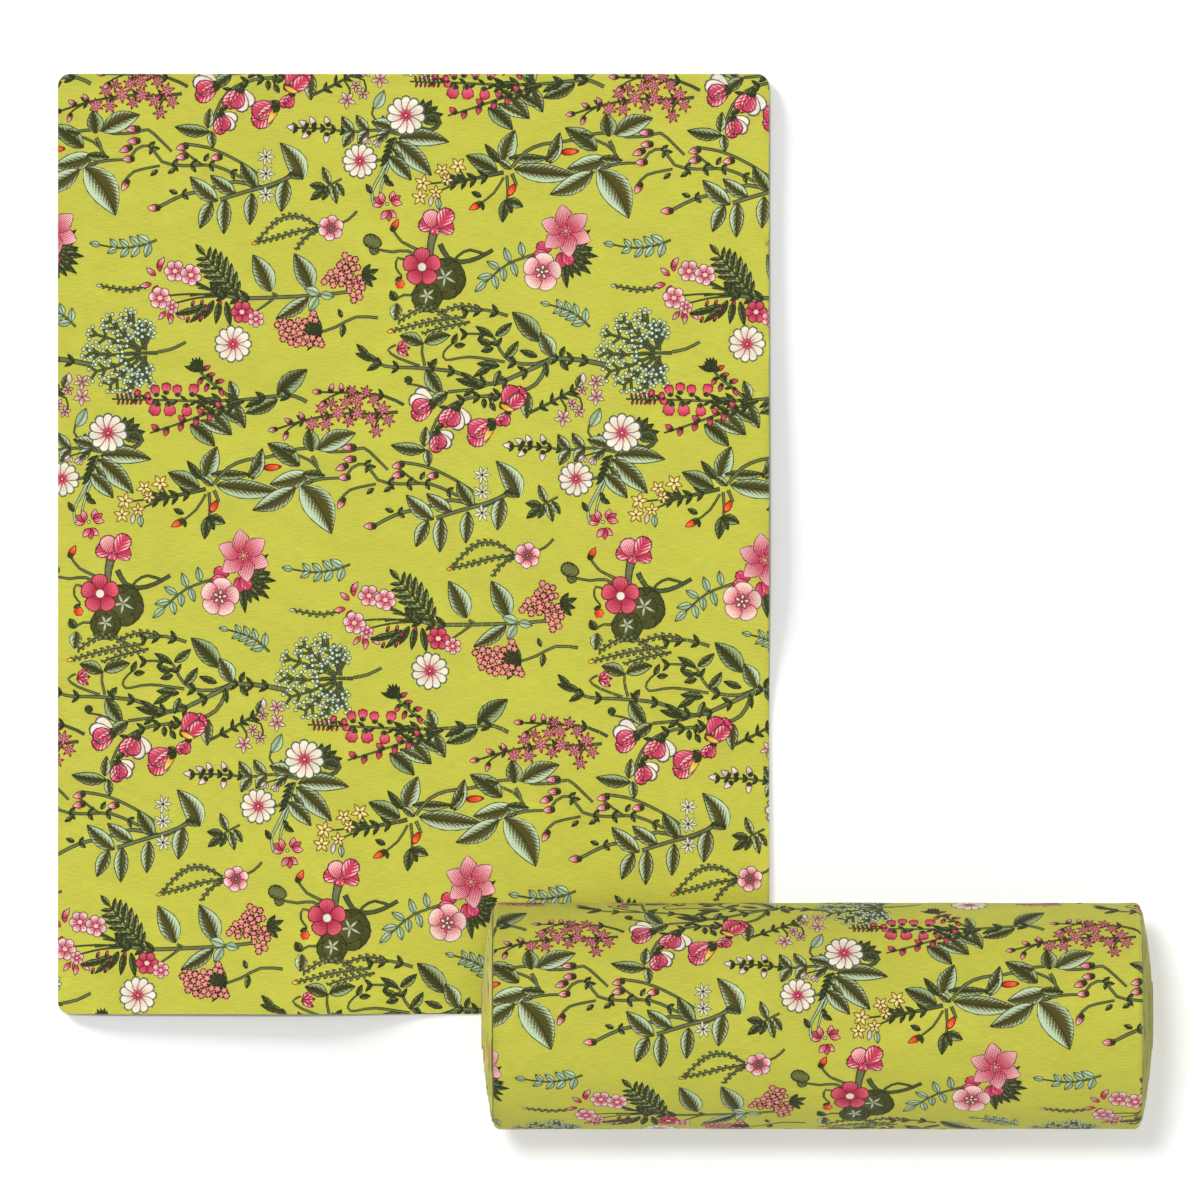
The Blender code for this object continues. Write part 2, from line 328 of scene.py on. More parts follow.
def pinnate(points, n=4, length=13, half=3.4, ink=LEAF_MINT, spread=52):
    path = stem(points, 1.2, 0.8, STEM)
    for i in range(n):
        share = 0.16 + 0.72 * i / n
        x, y, d = along(path, share)
        size = 1.05 - 0.30 * i / n
        for side in (-1, 1):
            leaf(x, y, d + side * (spread - 4 * i) + rng.uniform(-5, 5), length * size, half * size, ink)
    x, y, d = along(path, 0.985)
    leaf(x, y, d, length * 0.8, half * 0.8, ink)


def fern(points, n=9, length=14, half=2.6, ink=LEAF_DEEP, spread=42):
    path = stem(points, 1.4, 0.8, STEM_DARK)
    for i in range(n):
        share = 0.12 + 0.86 * i / n
        x, y, d = along(path, share)
        size = math.sin(math.pi * (0.22 + 0.66 * i / n))
        for side in (-1, 1):
            leaf(x, y, d + side * spread, length * size, half * size, ink, steps=5)
    x, y, d = along(path, 0.97)
    leaf(x, y, d, length * 0.7, half * 0.8, ink, steps=5)


def tuft(x, y, deg, n, length, half, fan=120, ink=LEAF_DEEP):
    for i in range(n):
        d = deg - fan / 2 + fan * i / (n - 1)
        leaf(x, y, d, length * rng.uniform(0.82, 1.1), half, ink, steps=6)


def umbel(x, y, deg, r, ink=DOT_MINT):
    """A bushy head on forking twigs, with small round flowers at their tips."""
    d = math.radians(deg)
    heart = (x + 0.55 * r * math.cos(d), y + 0.55 * r * math.sin(d))
    tips = []
    for i in range(9):
        a = math.radians(deg - 128 + 32 * i)
        far = r * (0.52 if i in (0, 8) else 0.60)
        root = (heart[0] - 0.30 * r * math.cos(d) + 0.10 * far * math.cos(a), heart[1] - 0.30 * r * math.sin(d) + 0.10 * far * math.sin(a))
        end = (heart[0] + far * math.cos(a), heart[1] + far * math.sin(a))
        bent = ((root[0] + end[0]) / 2 + rng.uniform(-3, 3), (root[1] + end[1]) / 2 + rng.uniform(-3, 3))
        path = stem([root, bent, end], 1.7, 1.3, STEM_DARK, 10.0)
        for share in (0.30, 0.54, 0.78, 1.0):
            px, py, out = along(path, share)
            for side in (-1, 1):
                e = math.radians(out + side * rng.uniform(28, 58))
                long = r * rng.uniform(0.10, 0.17)
                qx, qy = px + long * math.cos(e), py + long * math.sin(e)
                stem([(px, py), (qx, qy)], 1.5, 1.3, STEM_DARK, 30.0)
                tips += [(qx + 2.9 * math.cos(e + k), qy + 2.9 * math.sin(e + k)) for k in (-1.15, 1.15)]
    stem([(x, y), heart], 1.7, 1.2, STEM_DARK)
    for px, py in tips:
        dot(px, py, 2.5, ink, 6)


def lily_group():
    stem([(560, 240), (540, 252), (508, 264), (486, 282)], 1.6, 0.9)
    for x, y, d, n in ((523, 257, -100, 16), (510, 263, -110, 17), (512, 262, 72, 16), (500, 269, -150, 16),
                       (503, 267, 86, 15), (493, 275, 168, 17), (494, 275, 78, 15), (487, 281, 138, 17)):  # fmt: skip
        leaf(x, y, d, n, 3.7, LEAF_MINT)
    tuft(562, 252, 22, 9, 34, 4.4, 120, LEAF_DARK)
    tuft(566, 250, 18, 7, 25, 4.0, 104, LEAF_DEEP)
    for x, y, d in ((552, 250, 196), (549, 252, 160), (560, 252, 84), (562, 252, 50)):
        oval(x, y, d, 17, 6.2, ROSE, 0.4)
    ring(566, 231, 27, 6, LILY, 22, 0.06, 1.18, pointed=True)
    for i in range(7):
        a = math.tau * i / 7
        dot(566 + 4 * math.cos(a), 231 + 4 * math.sin(a), 1.3, DOT_PINK, 6)
    dot(566, 231, 1.7, DOT_PINK, 6)
    pale_flower(542, 272, 20, 5, -80, BLUSH)


def nasturtium_group():
    stem([(493, 250), (478, 258), (462, 262), (448, 258), (440, 244)], 1.8, 2.6, STEM_DARK)
    stem([(486, 255), (470, 250), (458, 256), (448, 268), (436, 276)], 1.4, 1.1, STEM_DARK)
    stem([(432, 262), (418, 250), (402, 242), (393, 230)], 1.7, 1.1)
    stem([(428, 262), (408, 251), (392, 252), (376, 249)], 1.5, 1.2)
    stem([(410, 262), (398, 258), (396, 268), (402, 276)], 1.2, 0.9)
    stem([(420, 296), (404, 295), (396, 300)], 1.3, 1.0)
    leaf(379, 253, -150, 12, 5.5, POD)
    oval(382, 245, 200, 20, 7.5, POD, 0.3)
    for x, y, r in ((445, 279, 20), (427, 297, 15)):
        ring(x, y, r * 1.06, 6, ROUND_LEAF, 14 * r, 0.0, 1.7, 0.5)
        dot(x, y, r * 0.7, ROUND_LEAF, 8)
        for i in range(5):
            leaf(x, y - r * 0.1, 14 * r + 36 + 72 * i, r * (0.62 if i % 2 else 0.52), 1.25, VEIN, steps=4)
    bud(392, 231, -62, 14, FLAME, half=4)
    dot(400, 284, 5.2, FLAME)
    leaf(395, 281, -30, 9, 2.4, LEAF_DARK)
    leaf(397, 303, 96, 18, 6.2, LEAF)
    leaf(396, 301, -118, 12, 4.4, LEAF_DARK)
    stem([(430, 258), (431, 244), (434, 232)], 2.6, 4.4, STEM)
    oval(436, 229, -158, 19, 7.5, PEA, 0.7)
    oval(438, 230, -14, 17, 8.0, PEA, 0.7)
    oval(436, 230, -112, 22, 8.6, LILY, 0.7)
    oval(438, 229, -58, 24, 8.8, PEA, 0.7)
    oval(436, 226, 100, 10, 5.0, PEA, 0.3)
    dot(437, 227, 1.6, DOT_MINT, 6)
    ring(422, 267, 20, 5, PINK, -90, 0.10, 0.92, 0.7)
    dot(422, 267, 5.2, CREAM, 9)


def catkin_sprig():
    stem([(357, 211), (348, 220), (330, 227), (312, 228)], 1.2, 1.1)
    catkin([(318, 226), (300, 217), (280, 219), (257, 241)], 5.4, HUSK, GOLD)
    catkin([(318, 229), (300, 231), (282, 236), (256, 243)], 5.4, HUSK, GOLD)
    catkin([(318, 231), (306, 237), (296, 250)], 5.0, HUSK)
    pale_flower(331, 228, 13.5, 6, -80, PHLOX)


def long_spray():
    path = stem([(348, 292), (320, 295), (285, 297), (240, 298), (214, 292)], 1.6, 2.0)
    leafy(path, (0.72, 0.80, 0.88, 0.96), 13, 2.6, LEAF_DARK, 40)
    stem([(276, 297), (264, 306), (252, 314)], 1.3, 0.9)
    for x, y in ((176, 275), (186, 282), (163, 296), (172, 304), (190, 296), (198, 288)):
        stem([(222, 296), ((x + 222) / 2, (y + 296) / 2 - 2), (x, y)], 1.1, 0.8, STEM_DARK)
    fern([(240, 297), (230, 284), (216, 268), (204, 254)], 7, 21, 3.7, LEAF_DEEP, 50)
    leaf(271, 292, -116, 42, 10, LEAF, 0.15, 0.8)
    stem([(272, 293), (278, 296)], 1.3, 1.2)
    leaf(312, 290, -116, 41, 10, LEAF, 0.15, 0.8)
    stem([(309, 294), (312, 290)], 1.3, 1.2)
    leaf(309, 297, 147, 40, 7, LEAF, -0.2)
    leaf(320, 294, 200, 17, 4.8, LEAF_MINT)
    leaf(318, 296, 120, 18, 4.8, LEAF_MINT)
    leaf(320, 294, 12, 15, 4.4, LEAF_MINT)
    catkin([(150, 285), (128, 290), (101, 286)], 5.2, HUSK, BUD_WHITE)
    for x, y, d in ((156, 276, -140), (160, 272, -95), (158, 268, -60), (152, 284, 170), (158, 285, 120)):
        leaf(x, y, d, 13, 3.4, BUD, steps=5)
    for x, y, d in ((168, 312, 70), (172, 313, 100), (176, 312, 40), (166, 311, 130)):
        leaf(x, y, d, 12, 3.2, BUD, steps=5)
    for x, y, d, n in ((214, 300, 118, 22), (220, 300, 100, 25), (226, 301, 80, 26), (208, 305, 160, 24), (200, 309, 168, 26), (216, 296, -80, 14), (212, 304, 140, 30)):
        leaf(x, y, d, n, 3.6, LEAF_DARK, steps=6)
    for x, y in ((201, 305), (205, 312), (200, 321), (187, 322), (219, 306), (192, 306)):
        bud(x, y, -70, 6.5, PINK)
    phlox(175, 271, 11.5)
    phlox(191, 275, 11.5, 20)
    phlox(160, 298, 12, 10)
    phlox(172, 307, 7.5, 40)
    phlox(242, 312, 12, 0, PINK)
    phlox(256, 319, 9, 30)
    daisy(233, 344, 19.5)


def dot_heads():
    tuft(362, 276, -5, 4, 17, 3.2, 100, LEAF_DARK)
    for x, y, rx, ry, n in ((349, 264, 10, 11, 12), (336, 279, 13, 8, 12), (352, 281, 12, 8, 12), (356, 292, 9, 9, 8), (345, 272, 12, 8, 10)):
        dots(x, y, rx, ry, n)
    stem([(378, 318), (356, 317), (336, 327), (318, 333)], 1.4, 1.3)
    leaf(344, 324, 100, 14, 3.2, LEAF_DEEP)
    leaf(342, 318, -110, 10, 2.6, LEAF_DEEP)
    tuft(322, 333, 190, 9, 24, 2.6, 120, LEAF_DARK)
    for x, y, rx, ry, n in ((284, 326, 9, 8, 9), (293, 336, 12, 9, 14), (306, 341, 8, 6, 7), (298, 324, 9, 5, 7)):
        dots(x, y, rx, ry, n)
    dots(313, 317, 4.5, 4.5, 4)
    dots(319, 342, 4.5, 3.5, 4)


def umbel_group():
    stem([(186, 342), (172, 349), (158, 352)], 1.4, 1.6)
    umbel(158, 353, 180, 58)


def branch_group():
    # the long arched stems
    stem([(606, 365), (580, 360), (552, 358)], 2.4, 2.2)
    stem([(552, 358), (535, 364), (512, 362), (500, 350), (494, 338), (482, 334), (462, 334)], 1.8, 1.0)
    stem([(550, 360), (520, 374), (490, 384), (455, 372), (418, 368), (385, 366), (362, 354)], 2.2, 1.4)
    stem([(548, 362), (536, 384), (510, 394), (470, 398), (444, 410), (432, 430), (429, 444)], 1.9, 1.3)
    stem([(508, 316), (486, 310), (462, 312)], 1.6, 1.2)
    stem([(425, 366), (422, 352), (423, 342)], 1.4, 1.0)
    stem([(505, 362), (470, 357), (446, 360), (444, 352), (452, 344)], 1.4, 0.9)
    stem([(442, 395), (420, 386), (407, 384)], 1.2, 0.8)
    stem([(448, 392), (480, 388), (498, 380)], 1.5, 1.2)
    stem([(420, 366), (398, 358), (388, 350), (396, 345)], 1.3, 1.0)
    for points, shares in (
        ([(550, 360), (520, 374), (490, 384), (455, 372), (418, 368), (385, 366), (362, 354)], (0.14, 0.24, 0.34, 0.5, 0.6, 0.78, 0.88)),
        ([(552, 358), (535, 364), (512, 362), (500, 350), (494, 338), (482, 334), (462, 334)], (0.3, 0.55, 0.8, 0.95)),
        ([(548, 362), (536, 384), (510, 394), (470, 398), (444, 410), (432, 430)], (0.3, 0.45, 0.6, 0.72, 0.84)),
        ([(508, 316), (486, 310), (462, 312)], (0.2, 0.5, 0.8)),
        ([(606, 365), (580, 360), (552, 358)], (0.35, 0.6, 0.85)),
    ):
        leafy(smooth(points), shares, 12, 2.5, LEAF_DARK, 42, shrink=0.2)
    # leaves
    leaf(541, 342, -134, 42, 9.5, LEAF_DEEP, 0.15)
    leaf(553, 357, -118, 28, 8, LEAF, 0.1)
    leaf(560, 357, -66, 12, 3, LEAF_DARK)
    leaf(560, 360, 52, 14, 3.4, LEAF_DARK)
    leaf(545, 362, 82, 16, 3, LEAF_DARK)
    leaf(538, 357, -160, 20, 3.6, LEAF_DARK)
    leaf(495, 336, -38, 22, 4.4, LEAF_DEEP, 0.2)
    leaf(494, 337, -150, 22, 3.4, LEAF_DARK)
    leaf(492, 345, 200, 16, 3.8, LEAF_DARK)
    leaf(494, 348, 165, 14, 3.4, LEAF_DARK)
    leaf(505, 358, -52, 22, 4.4, LEAF_DEEP, 0.25)
    leaf(500, 366, 186, 24, 4.2, LEAF_DARK)
    leaf(492, 366, 150, 22, 3.6, LEAF_DARK)
    leaf(500, 370, 108, 18, 3.8, LEAF_DEEP)
    leaf(423, 344, 200, 25, 6.5, LEAF_DEEP, 0.2)
    leaf(424, 343, -16, 28, 6.5, LEAF_DEEP, -0.2)
    leaf(452, 345, -66, 13, 3.0, LEAF_DARK)
    leaf(454, 346, -6, 12, 3.0, LEAF_DARK)
    leaf(426, 369, 58, 32, 7.2, LEAF_DEEP, 0.15)
    leaf(448, 392, 146, 27, 6, LEAF_DEEP)
    leaf(480, 386, 196, 26, 3.8, LEAF_DARK)
    leaf(478, 384, 214, 22, 3.2, LEAF_DARK)
    leaf(474, 388, 140, 14, 3.0, LEAF_DARK)
    leaf(430, 368, -54, 12, 3.4, LEAF_DARK)
    leaf(528, 392, 92, 27, 6.2, LEAF, 0.2)
    leaf(382, 362, 150, 18, 3.4, LEAF_DARK)
    leaf(378, 360, 196, 24, 4.0, LEAF_DARK)
    leaf(370, 358, 226, 20, 3.4, LEAF_DARK)
    leaf(426, 450, 188, 36, 6.4, LEAF_DEEP, -0.2)
    leaf(424, 447, -84, 21, 5, LEAF)
    leaf(427, 449, 84, 18, 4.6, LEAF)
    oval(413, 380, 180, 9, 4.4, LEAF_DARK, 0.2)
    # spikes over the top
    catkin([(484, 310), (462, 306), (440, 312)], 5.4)
    catkin([(452, 318), (424, 308), (398, 322)], 6.0)
    catkin([(466, 317), (430, 322), (392, 331)], 6.0, HUSK, GOLD)
    catkin([(470, 322), (440, 328), (422, 334)], 5.4)
    # blossoms
    dot(401, 350, 5, LEAF_DARK)
    for d in (-40, -5, 30):
        leaf(397, 349, d, 14, 4.0, PEA)
    pea(434, 404, 178, 28, side=-1)
    pea(456, 406, 96, 27)
    pea(436, 432, 60, 23)
    pea(494, 424, 172, 34, False, True, -1)
    pea(508, 412, 100, 19, False)
    pea(504, 408, -72, 31, False, True)
    oval(508, 410, -44, 22, 7.5, PEA, 0.5)
    leaf(500, 404, 24, 17, 3.4, GOLD, 0.3)
    for x, y, d in ((484, 398, 88), (490, 402, 60), (456, 402, 80), (458, 401, 110), (444, 424, 150), (492, 392, 100)):
        leaf(x, y, d, 11, 3.0, LEAF_DARK, steps=5)


def star_sprig():
    path = stem([(529, 413), (548, 404), (566, 394), (582, 386)], 1.5, 1.1, STEM_DARK)
    leafy(path, (0.2, 0.38, 0.56, 0.74), 10, 1.9, LEAF_DARK, 46)
    stem([(566, 394), (580, 398), (582, 410)], 1.0, 0.8, STEM_DARK)
    stem([(560, 398), (566, 408), (564, 418)], 1.0, 0.8, STEM_DARK)
    leaf(577, 388, -70, 15, 4.2, LEAF)
    leaf(584, 384, -96, 12, 3.4, BUD_WHITE)
    for x, y, r in ((596, 382, 9), (596, 397, 9.5), (582, 390, 6.5), (572, 404, 7), (579, 412, 7), (563, 418, 9.5)):
        star(x, y, r, 5, STAR, -90 + 20 * (x % 3))


def foxglove():
    path = stem([(307, 402), (294, 396), (276, 396), (240, 400), (200, 401), (160, 400), (112, 399)], 1.8, 0.8)
    two = stem([(244, 401), (222, 408), (200, 416), (172, 426), (150, 433)], 1.5, 0.8)
    three = stem([(232, 399), (216, 386), (204, 376), (196, 366)], 1.6, 1.2)
    leaf(277, 395, -40, 40, 9.5, LEAF_DEEP, -0.1)
    leaf(278, 399, 156, 36, 6.5, LEAF_DEEP, -0.15)
    leaf(237, 399, -112, 20, 5.4, LEAF)
    leaf(234, 403, 66, 28, 7.0, LEAF, 0.15)
    leaf(212, 413, 48, 30, 7.6, LEAF, 0.1)
    leaf(220, 410, 30, 27, 4.6, LEAF_DEEP)
    leaf(190, 424, 42, 34, 7.8, LEAF_DEEP, -0.15)
    leaf(200, 420, 26, 34, 5.2, LEAF)
    leafy(path, (0.10, 0.22, 0.34, 0.43, 0.50), 14, 2.6, LEAF_DARK, 34)
    leafy(two, (0.1, 0.2, 0.3), 13, 2.6, LEAF_DARK, 36)
    for x, y, d in ((245, 401, 168), (222, 402, 190), (262, 398, 150), (214, 401, 176)):
        leaf(x, y, d, 20, 3.2, LEAF_DARK)
    for i in range(9):
        x, y, d = along(path, 0.46 + 0.05 * i)
        leaf(x, y, d + (34 if i % 2 else -34), 9, 1.8, LEAF_DARK, steps=4)
    for x, y, d, n in ((192, 396, -76, 13), (178, 396, -96, 12), (166, 394, -88, 12), (157, 396, -106, 12), (155, 402, 192, 10),
                       (158, 402, 112, 15), (168, 402, 78, 15), (186, 404, 84, 13), (150, 399, -120, 8), (137, 397, -80, 8)):  # fmt: skip
        bell(x, y, d, n)
    for i in range(6):
        bud(118 + 4.4 * i, 397.5, -104, 5, PINK)
        bud(119 + 4.4 * i, 400.5, 104, 5, PINK)
    for share, side in ((0.22, 1), (0.34, -1), (0.48, -1), (0.62, 1), (0.66, -1), (0.82, -1), (0.9, 1), (0.4, 1)):
        x, y, d = along(two, share)
        bud(x, y, d + side * 58, 9.5, PINK, half=3.6)
    tuft(199, 372, -116, 7, 15, 2.3, 84, LEAF_DARK)
    for x, y, d in ((203, 370, -30), (207, 376, -14), (216, 382, -10), (202, 378, 120), (208, 384, 110), (220, 388, 70)):
        bud(x, y, d, 9, PINK, half=3.0)
    for i in range(5):
        x, y, d = along(three, 0.3 + 0.15 * i)
        leaf(x, y, d + (50 if i % 2 else -50), 8, 1.8, LEAF_DARK, steps=4)


def pink_spray():
    one = stem([(404, 405), (384, 396), (352, 393), (316, 392)], 1.5, 0.9, STEM_DARK)
    two = stem([(398, 412), (372, 414), (340, 414), (306, 420), (274, 430)], 1.5, 0.9, STEM_DARK)
    stem([(340, 393), (330, 397), (323, 402)], 0.9, 0.7, STEM_DARK)
    stem([(300, 422), (290, 428), (284, 434)], 0.9, 0.7, STEM_DARK)
    stem([(385, 412), (378, 420), (374, 430)], 1.0, 0.8, STEM_DARK)
    leafy(one, (0.2, 0.4, 0.6), 9, 1.8, LEAF_DARK, 50)
    leafy(two, (0.15, 0.35, 0.55, 0.75), 9, 1.8, LEAF_DARK, 50)
    for x, y, r in ((346, 402, 8), (322, 409, 8), (338, 413, 9.5), (357, 400, 8.5), (358, 413, 9), (312, 424, 8.5), (326, 424, 8.5),
                    (374, 400, 8), (383, 409, 9), (371, 419, 8.5), (388, 420, 8), (366, 392, 7.5), (376, 431, 8), (349, 421, 7.5),
                    (352, 391, 7), (332, 403, 6.5)):  # fmt: skip
        star(x, y, r, 6, STAR_PINK, x * 7 % 60, DOT_PINK)
    for x, y, d in ((321, 392, 182), (326, 401, 140), (342, 392, -96), (304, 420, -120), (292, 423, -150), (277, 429, 170), (287, 432, 110), (330, 392, -70)):
        bud(x, y, d, 9.5, BUD, half=3.2)


def white_sprig_and_daisies():
    path = stem([(616, 452), (592, 448), (568, 450), (540, 447), (508, 446)], 1.6, 0.8)
    leafy(path, (0.52, 0.6, 0.68, 0.76, 0.84, 0.92), 7.5, 2.0, LEAF_DARK, 46)
    leafy(path, (0.12, 0.30, 0.44), 19, 5.2, LEAF, 54)
    for x, y, d in ((513, 446, 186), (526, 450, 142), (531, 444, -118), (545, 444, -112), (543, 451, 96), (524, 444, -150)):
        bud(x, y, d, 11, BUD_WHITE, half=3.6)
    stem([(612, 450), (598, 444), (588, 432), (592, 420)], 1.1, 0.9)
    leaf(590, 427, -62, 22, 5.2, LEAF_MINT, 0.2)
    leaf(610, 446, 196, 24, 6.4, LEAF, 0.1)
    stem([(612, 455), (604, 474), (588, 480)], 1.6, 1.2)
    for x, y in ((584, 456), (594, 459)):
        stem([(606, 450), (x, y)], 0.8, 0.7)
        for d in (80, 110, 140):
            leaf(x, y - 1, d, 8, 2.4, BUD_WHITE, steps=4)
    stem([(604, 478), (596, 494), (588, 510), (590, 524)], 1.7, 1.2, STEM_MINT)
    stem([(606, 480), (600, 496), (596, 512), (598, 522)], 1.4, 1.0, STEM_MINT)
    leaf(600, 498, 30, 12, 3, LEAF_DARK)
    leaf(600, 492, 60, 10, 2.6, LEAF_DARK)
    leaf(588, 512, -120, 12, 3, LEAF_DARK)
    tuft(636, 436, -34, 5, 24, 4.4, 92, LEAF_DARK)
    stem([(632, 444), (646, 448), (656, 440), (650, 432), (641, 435), (644, 442)], 2.2, 1.6, STEM_DARK)
    leaf(614, 456, 4, 52, 8.5, LEAF, -0.3)
    leaf(612, 459, 44, 50, 9.5, LEAF, -0.1)
    leaf(608, 466, 54, 24, 4.6, LEAF)
    leaf(604, 474, 46, 34, 7.4, LEAF, -0.15)
    for i in range(6):
        leaf(612 - i * 1.5, 456 + i * 4.2, 158 - 4 * i, 12, 2.0, LEAF_DARK, steps=4)
    daisy(622, 433, 20.5, 8)
    daisy(576, 479, 18.5, 20)
    for x, y, d in ((600, 521, 208), (607, 520, -34), (604, 528, 84)):
        for e in (-42, 0, 42):
            leaf(x, y, d + e, 12, 4.0, LILY if e else PINK, steps=5)
    dot(603, 522, 2.2, DOT_MINT)


def gold_sprig():
    path = stem([(206, 489), (184, 494), (164, 498), (146, 502)], 2.0, 1.3, STEM_DARK)
    leafy(path, (0.25, 0.42, 0.58, 0.74), 13, 2.3, LEAF_DARK, 44)
    for x, y in ((146, 490), (150, 496), (160, 484), (138, 510), (126, 502)):
        stem([(168, 497), (x, y)], 1.0, 0.8, STEM_DARK)
    for x, y, r in ((125, 501, 9.5), (122, 515, 9), (144, 488, 8.5), (149, 497, 7.5), (160, 483, 9.5), (138, 510, 8)):
        star(x, y, r, 5, STAR_GOLD, -90 + 13 * (y % 5))
    leaf(134, 513, 100, 12, 3, BUD_WHITE)
    leaf(140, 515, 84, 13, 3.2, LEAF_MINT)
    stem([(206, 494), (196, 510), (182, 521)], 1.2, 1.0)
    leaf(184, 514, 206, 12, 3, LEAF_DARK)
    leaf(184, 519, 80, 9, 2.4, LEAF_DARK)
    bud(184, 520, 152, 15, FLAME, LEAF_DARK, 4.0)
    stem([(209, 492), (210, 508), (209, 518)], 1.5, 1.1)
    oval(218, 500, 122, 15, 4, FLAME, 0.2)
    stem([(214, 490), (219, 502)], 1.8, 1.4)
    leaf(208, 516, 98, 24, 5, LEAF_DARK, 0.1)
    leaf(208, 517, 20, 19, 5.2, LEAF_DEEP, -0.1)
    leaf(208, 518, 62, 14, 4, LEAF_DARK)
    leaf(200, 488, 206, 36, 8.2, LEAF_DEEP, 0.1)
    leaf(202, 480, -128, 25, 4.0, LEAF_DARK)
    leaf(205, 480, -70, 36, 9.0, LEAF, -0.1)
    leaf(214, 486, 216, 18, 4.0, LEAF)
    leaf(210, 474, 0, 42, 5.0, LEAF_DEEP, 0.2)


def big_leaves():
    stem([(214, 484), (228, 468), (246, 460), (268, 457), (292, 450), (316, 448), (330, 452), (352, 451)], 1.7, 1.4)
    stem([(272, 456), (300, 456), (316, 466), (320, 478), (300, 486)], 1.4, 1.2)
    stem([(298, 485), (322, 479), (346, 478)], 1.6, 1.2)
    stem([(312, 456), (318, 470), (308, 484)], 1.8, 1.3)
    leaf(216, 485, 6, 66, 9.2, LEAF, 0.12, 0.8)
    leaf(252, 480, -72, 34, 6.4, LEAF, 0.15)
    leaf(248, 478, -50, 22, 4.4, LEAF_DEEP)
    oval(263, 468, 176 + 180, 19, 3.8, FLAME, -0.4)
    leaf(300, 466, -145, 40, 9.0, LEAF_DEEP, 0.2)
    leaf(310, 474, 166, 42, 9.0, LEAF, -0.15)
    leaf(296, 487, 152, 50, 9.0, LEAF, -0.25)
    leaf(312, 452, -98, 24, 8.0, LEAF_DEEP, 0.1)
    leaf(296, 452, 196, 14, 4.4, LEAF_DEEP)
    leaf(318, 450, -24, 42, 9.5, LEAF, -0.25)
    leaf(302, 474, 4, 24, 4.6, LEAF_DEEP)
    leaf(301, 485, 58, 58, 14.5, LEAF, -0.28, 0.82)


def bud_spray():
    stem([(352, 451), (364, 448), (376, 458), (388, 470)], 1.5, 1.2)
    one = stem([(346, 478), (352, 468), (366, 464), (378, 480), (400, 484), (430, 484), (458, 496)], 1.3, 1.5)
    stem([(400, 462), (424, 466), (444, 474), (462, 484), (474, 492)], 1.5, 1.3)
    stem([(396, 466), (408, 476), (420, 484)], 1.2, 1.0)
    stem([(341, 500), (350, 490), (376, 484)], 1.3, 1.2)
    four = stem([(372, 527), (398, 514), (424, 508), (452, 500), (482, 506), (506, 494)], 1.6, 2.0)
    leafy(one, (0.3, 0.5, 0.62, 0.75, 0.9), 9, 2.3, LEAF_DEEP, 46)
    leafy(four, (0.2, 0.34, 0.48), 9, 2.4, LEAF_DEEP, 46)
    for x, y, d, n in ((356, 447, 176, 15), (356, 459, 176, 13), (348, 465, 158, 14), (350, 477, 176, 12), (344, 498, 118, 13),
                       (404, 464, 166, 13), (404, 474, 170, 13), (438, 475, 172, 12), (376, 526, 178, 13)):  # fmt: skip
        bud(x, y, d, n, BUD, half=4.2)
    for x, y, d in ((374, 488, 140), (392, 487, 150), (420, 480, -60), (394, 512, 200), (364, 466, -40)):
        leaf(x, y, d, 10, 2.6, LEAF_DEEP)
    leaf(434, 520, 222, 38, 8.0, LEAF, -0.15)
    leaf(452, 512, 216, 32, 6.8, LEAF, -0.15)
    leaf(474, 507, 238, 32, 7.2, LEAF_DEEP, -0.15)
    leaf(428, 520, 114, 30, 6.6, LEAF, 0.1)
    leaf(441, 517, 92, 36, 7.0, LEAF, 0.05)
    leaf(468, 511, 94, 33, 6.6, LEAF, 0.05)
    leaf(502, 497, 98, 34, 7.8, LEAF, 0.1)
    stem([(436, 518), (462, 510), (490, 502), (512, 492)], 1.8, 2.0)
    leaf(519, 498, -122, 44, 10, LEAF, 0.35, 0.7)
    leaf(504, 492, 10, 16, 4.4, LEAF_DARK)
    for y in (475, 492, 513):
        star(482, y, 9.6, 7, STAR_WHITE, 12 * y % 50, LEAF_DARK)


def small_leaves():
    stem([(558, 497), (548, 502), (538, 508)], 1.1, 1.0)
    for x, y, d, n, w, k in ((546, 503, -112, 20, 4.2, LEAF), (548, 503, 76, 20, 4, LEAF), (552, 501, 58, 16, 3.8, LEAF),
                             (544, 505, 112, 15, 4, LEAF_DEEP), (542, 505, 186, 17, 4.2, LEAF_DARK), (541, 507, 142, 19, 4.2, LEAF_DARK)):  # fmt: skip
        leaf(x, y, d, n, w, k)


def draw_repeat():
    umbel_group()
    pinnate([(157, 240), (140, 246), (120, 248), (100, 245)], 4, 15, 4.0)
    pinnate([(590, 327), (578, 316), (564, 309), (550, 305)], 4, 14, 3.6)
    catkin_sprig()
    dot_heads()
    long_spray()
    lily_group()
    nasturtium_group()
    branch_group()
    star_sprig()
    foxglove()
    pink_spray()
    white_sprig_and_daisies()
    gold_sprig()
    big_leaves()
    bud_spray()
    small_leaves()


draw_repeat()

# ---- cutting the print into a piece of cloth ----------------------------------------------------------------
TABLE = np.array([row for _, row in shapes])
POLYGONS = [np.array(points) for points, _ in shapes]
LOWEST = np.array([p.min(axis=0) for p in POLYGONS])
HIGHEST = np.array([p.max(axis=0) for p in POLYGONS])


def anticlockwise(p):
    x, y = p[:, 0], p[:, 1]
    return p if np.dot(x, np.roll(y, -1)) > np.dot(y, np.roll(x, -1)) else p[::-1]


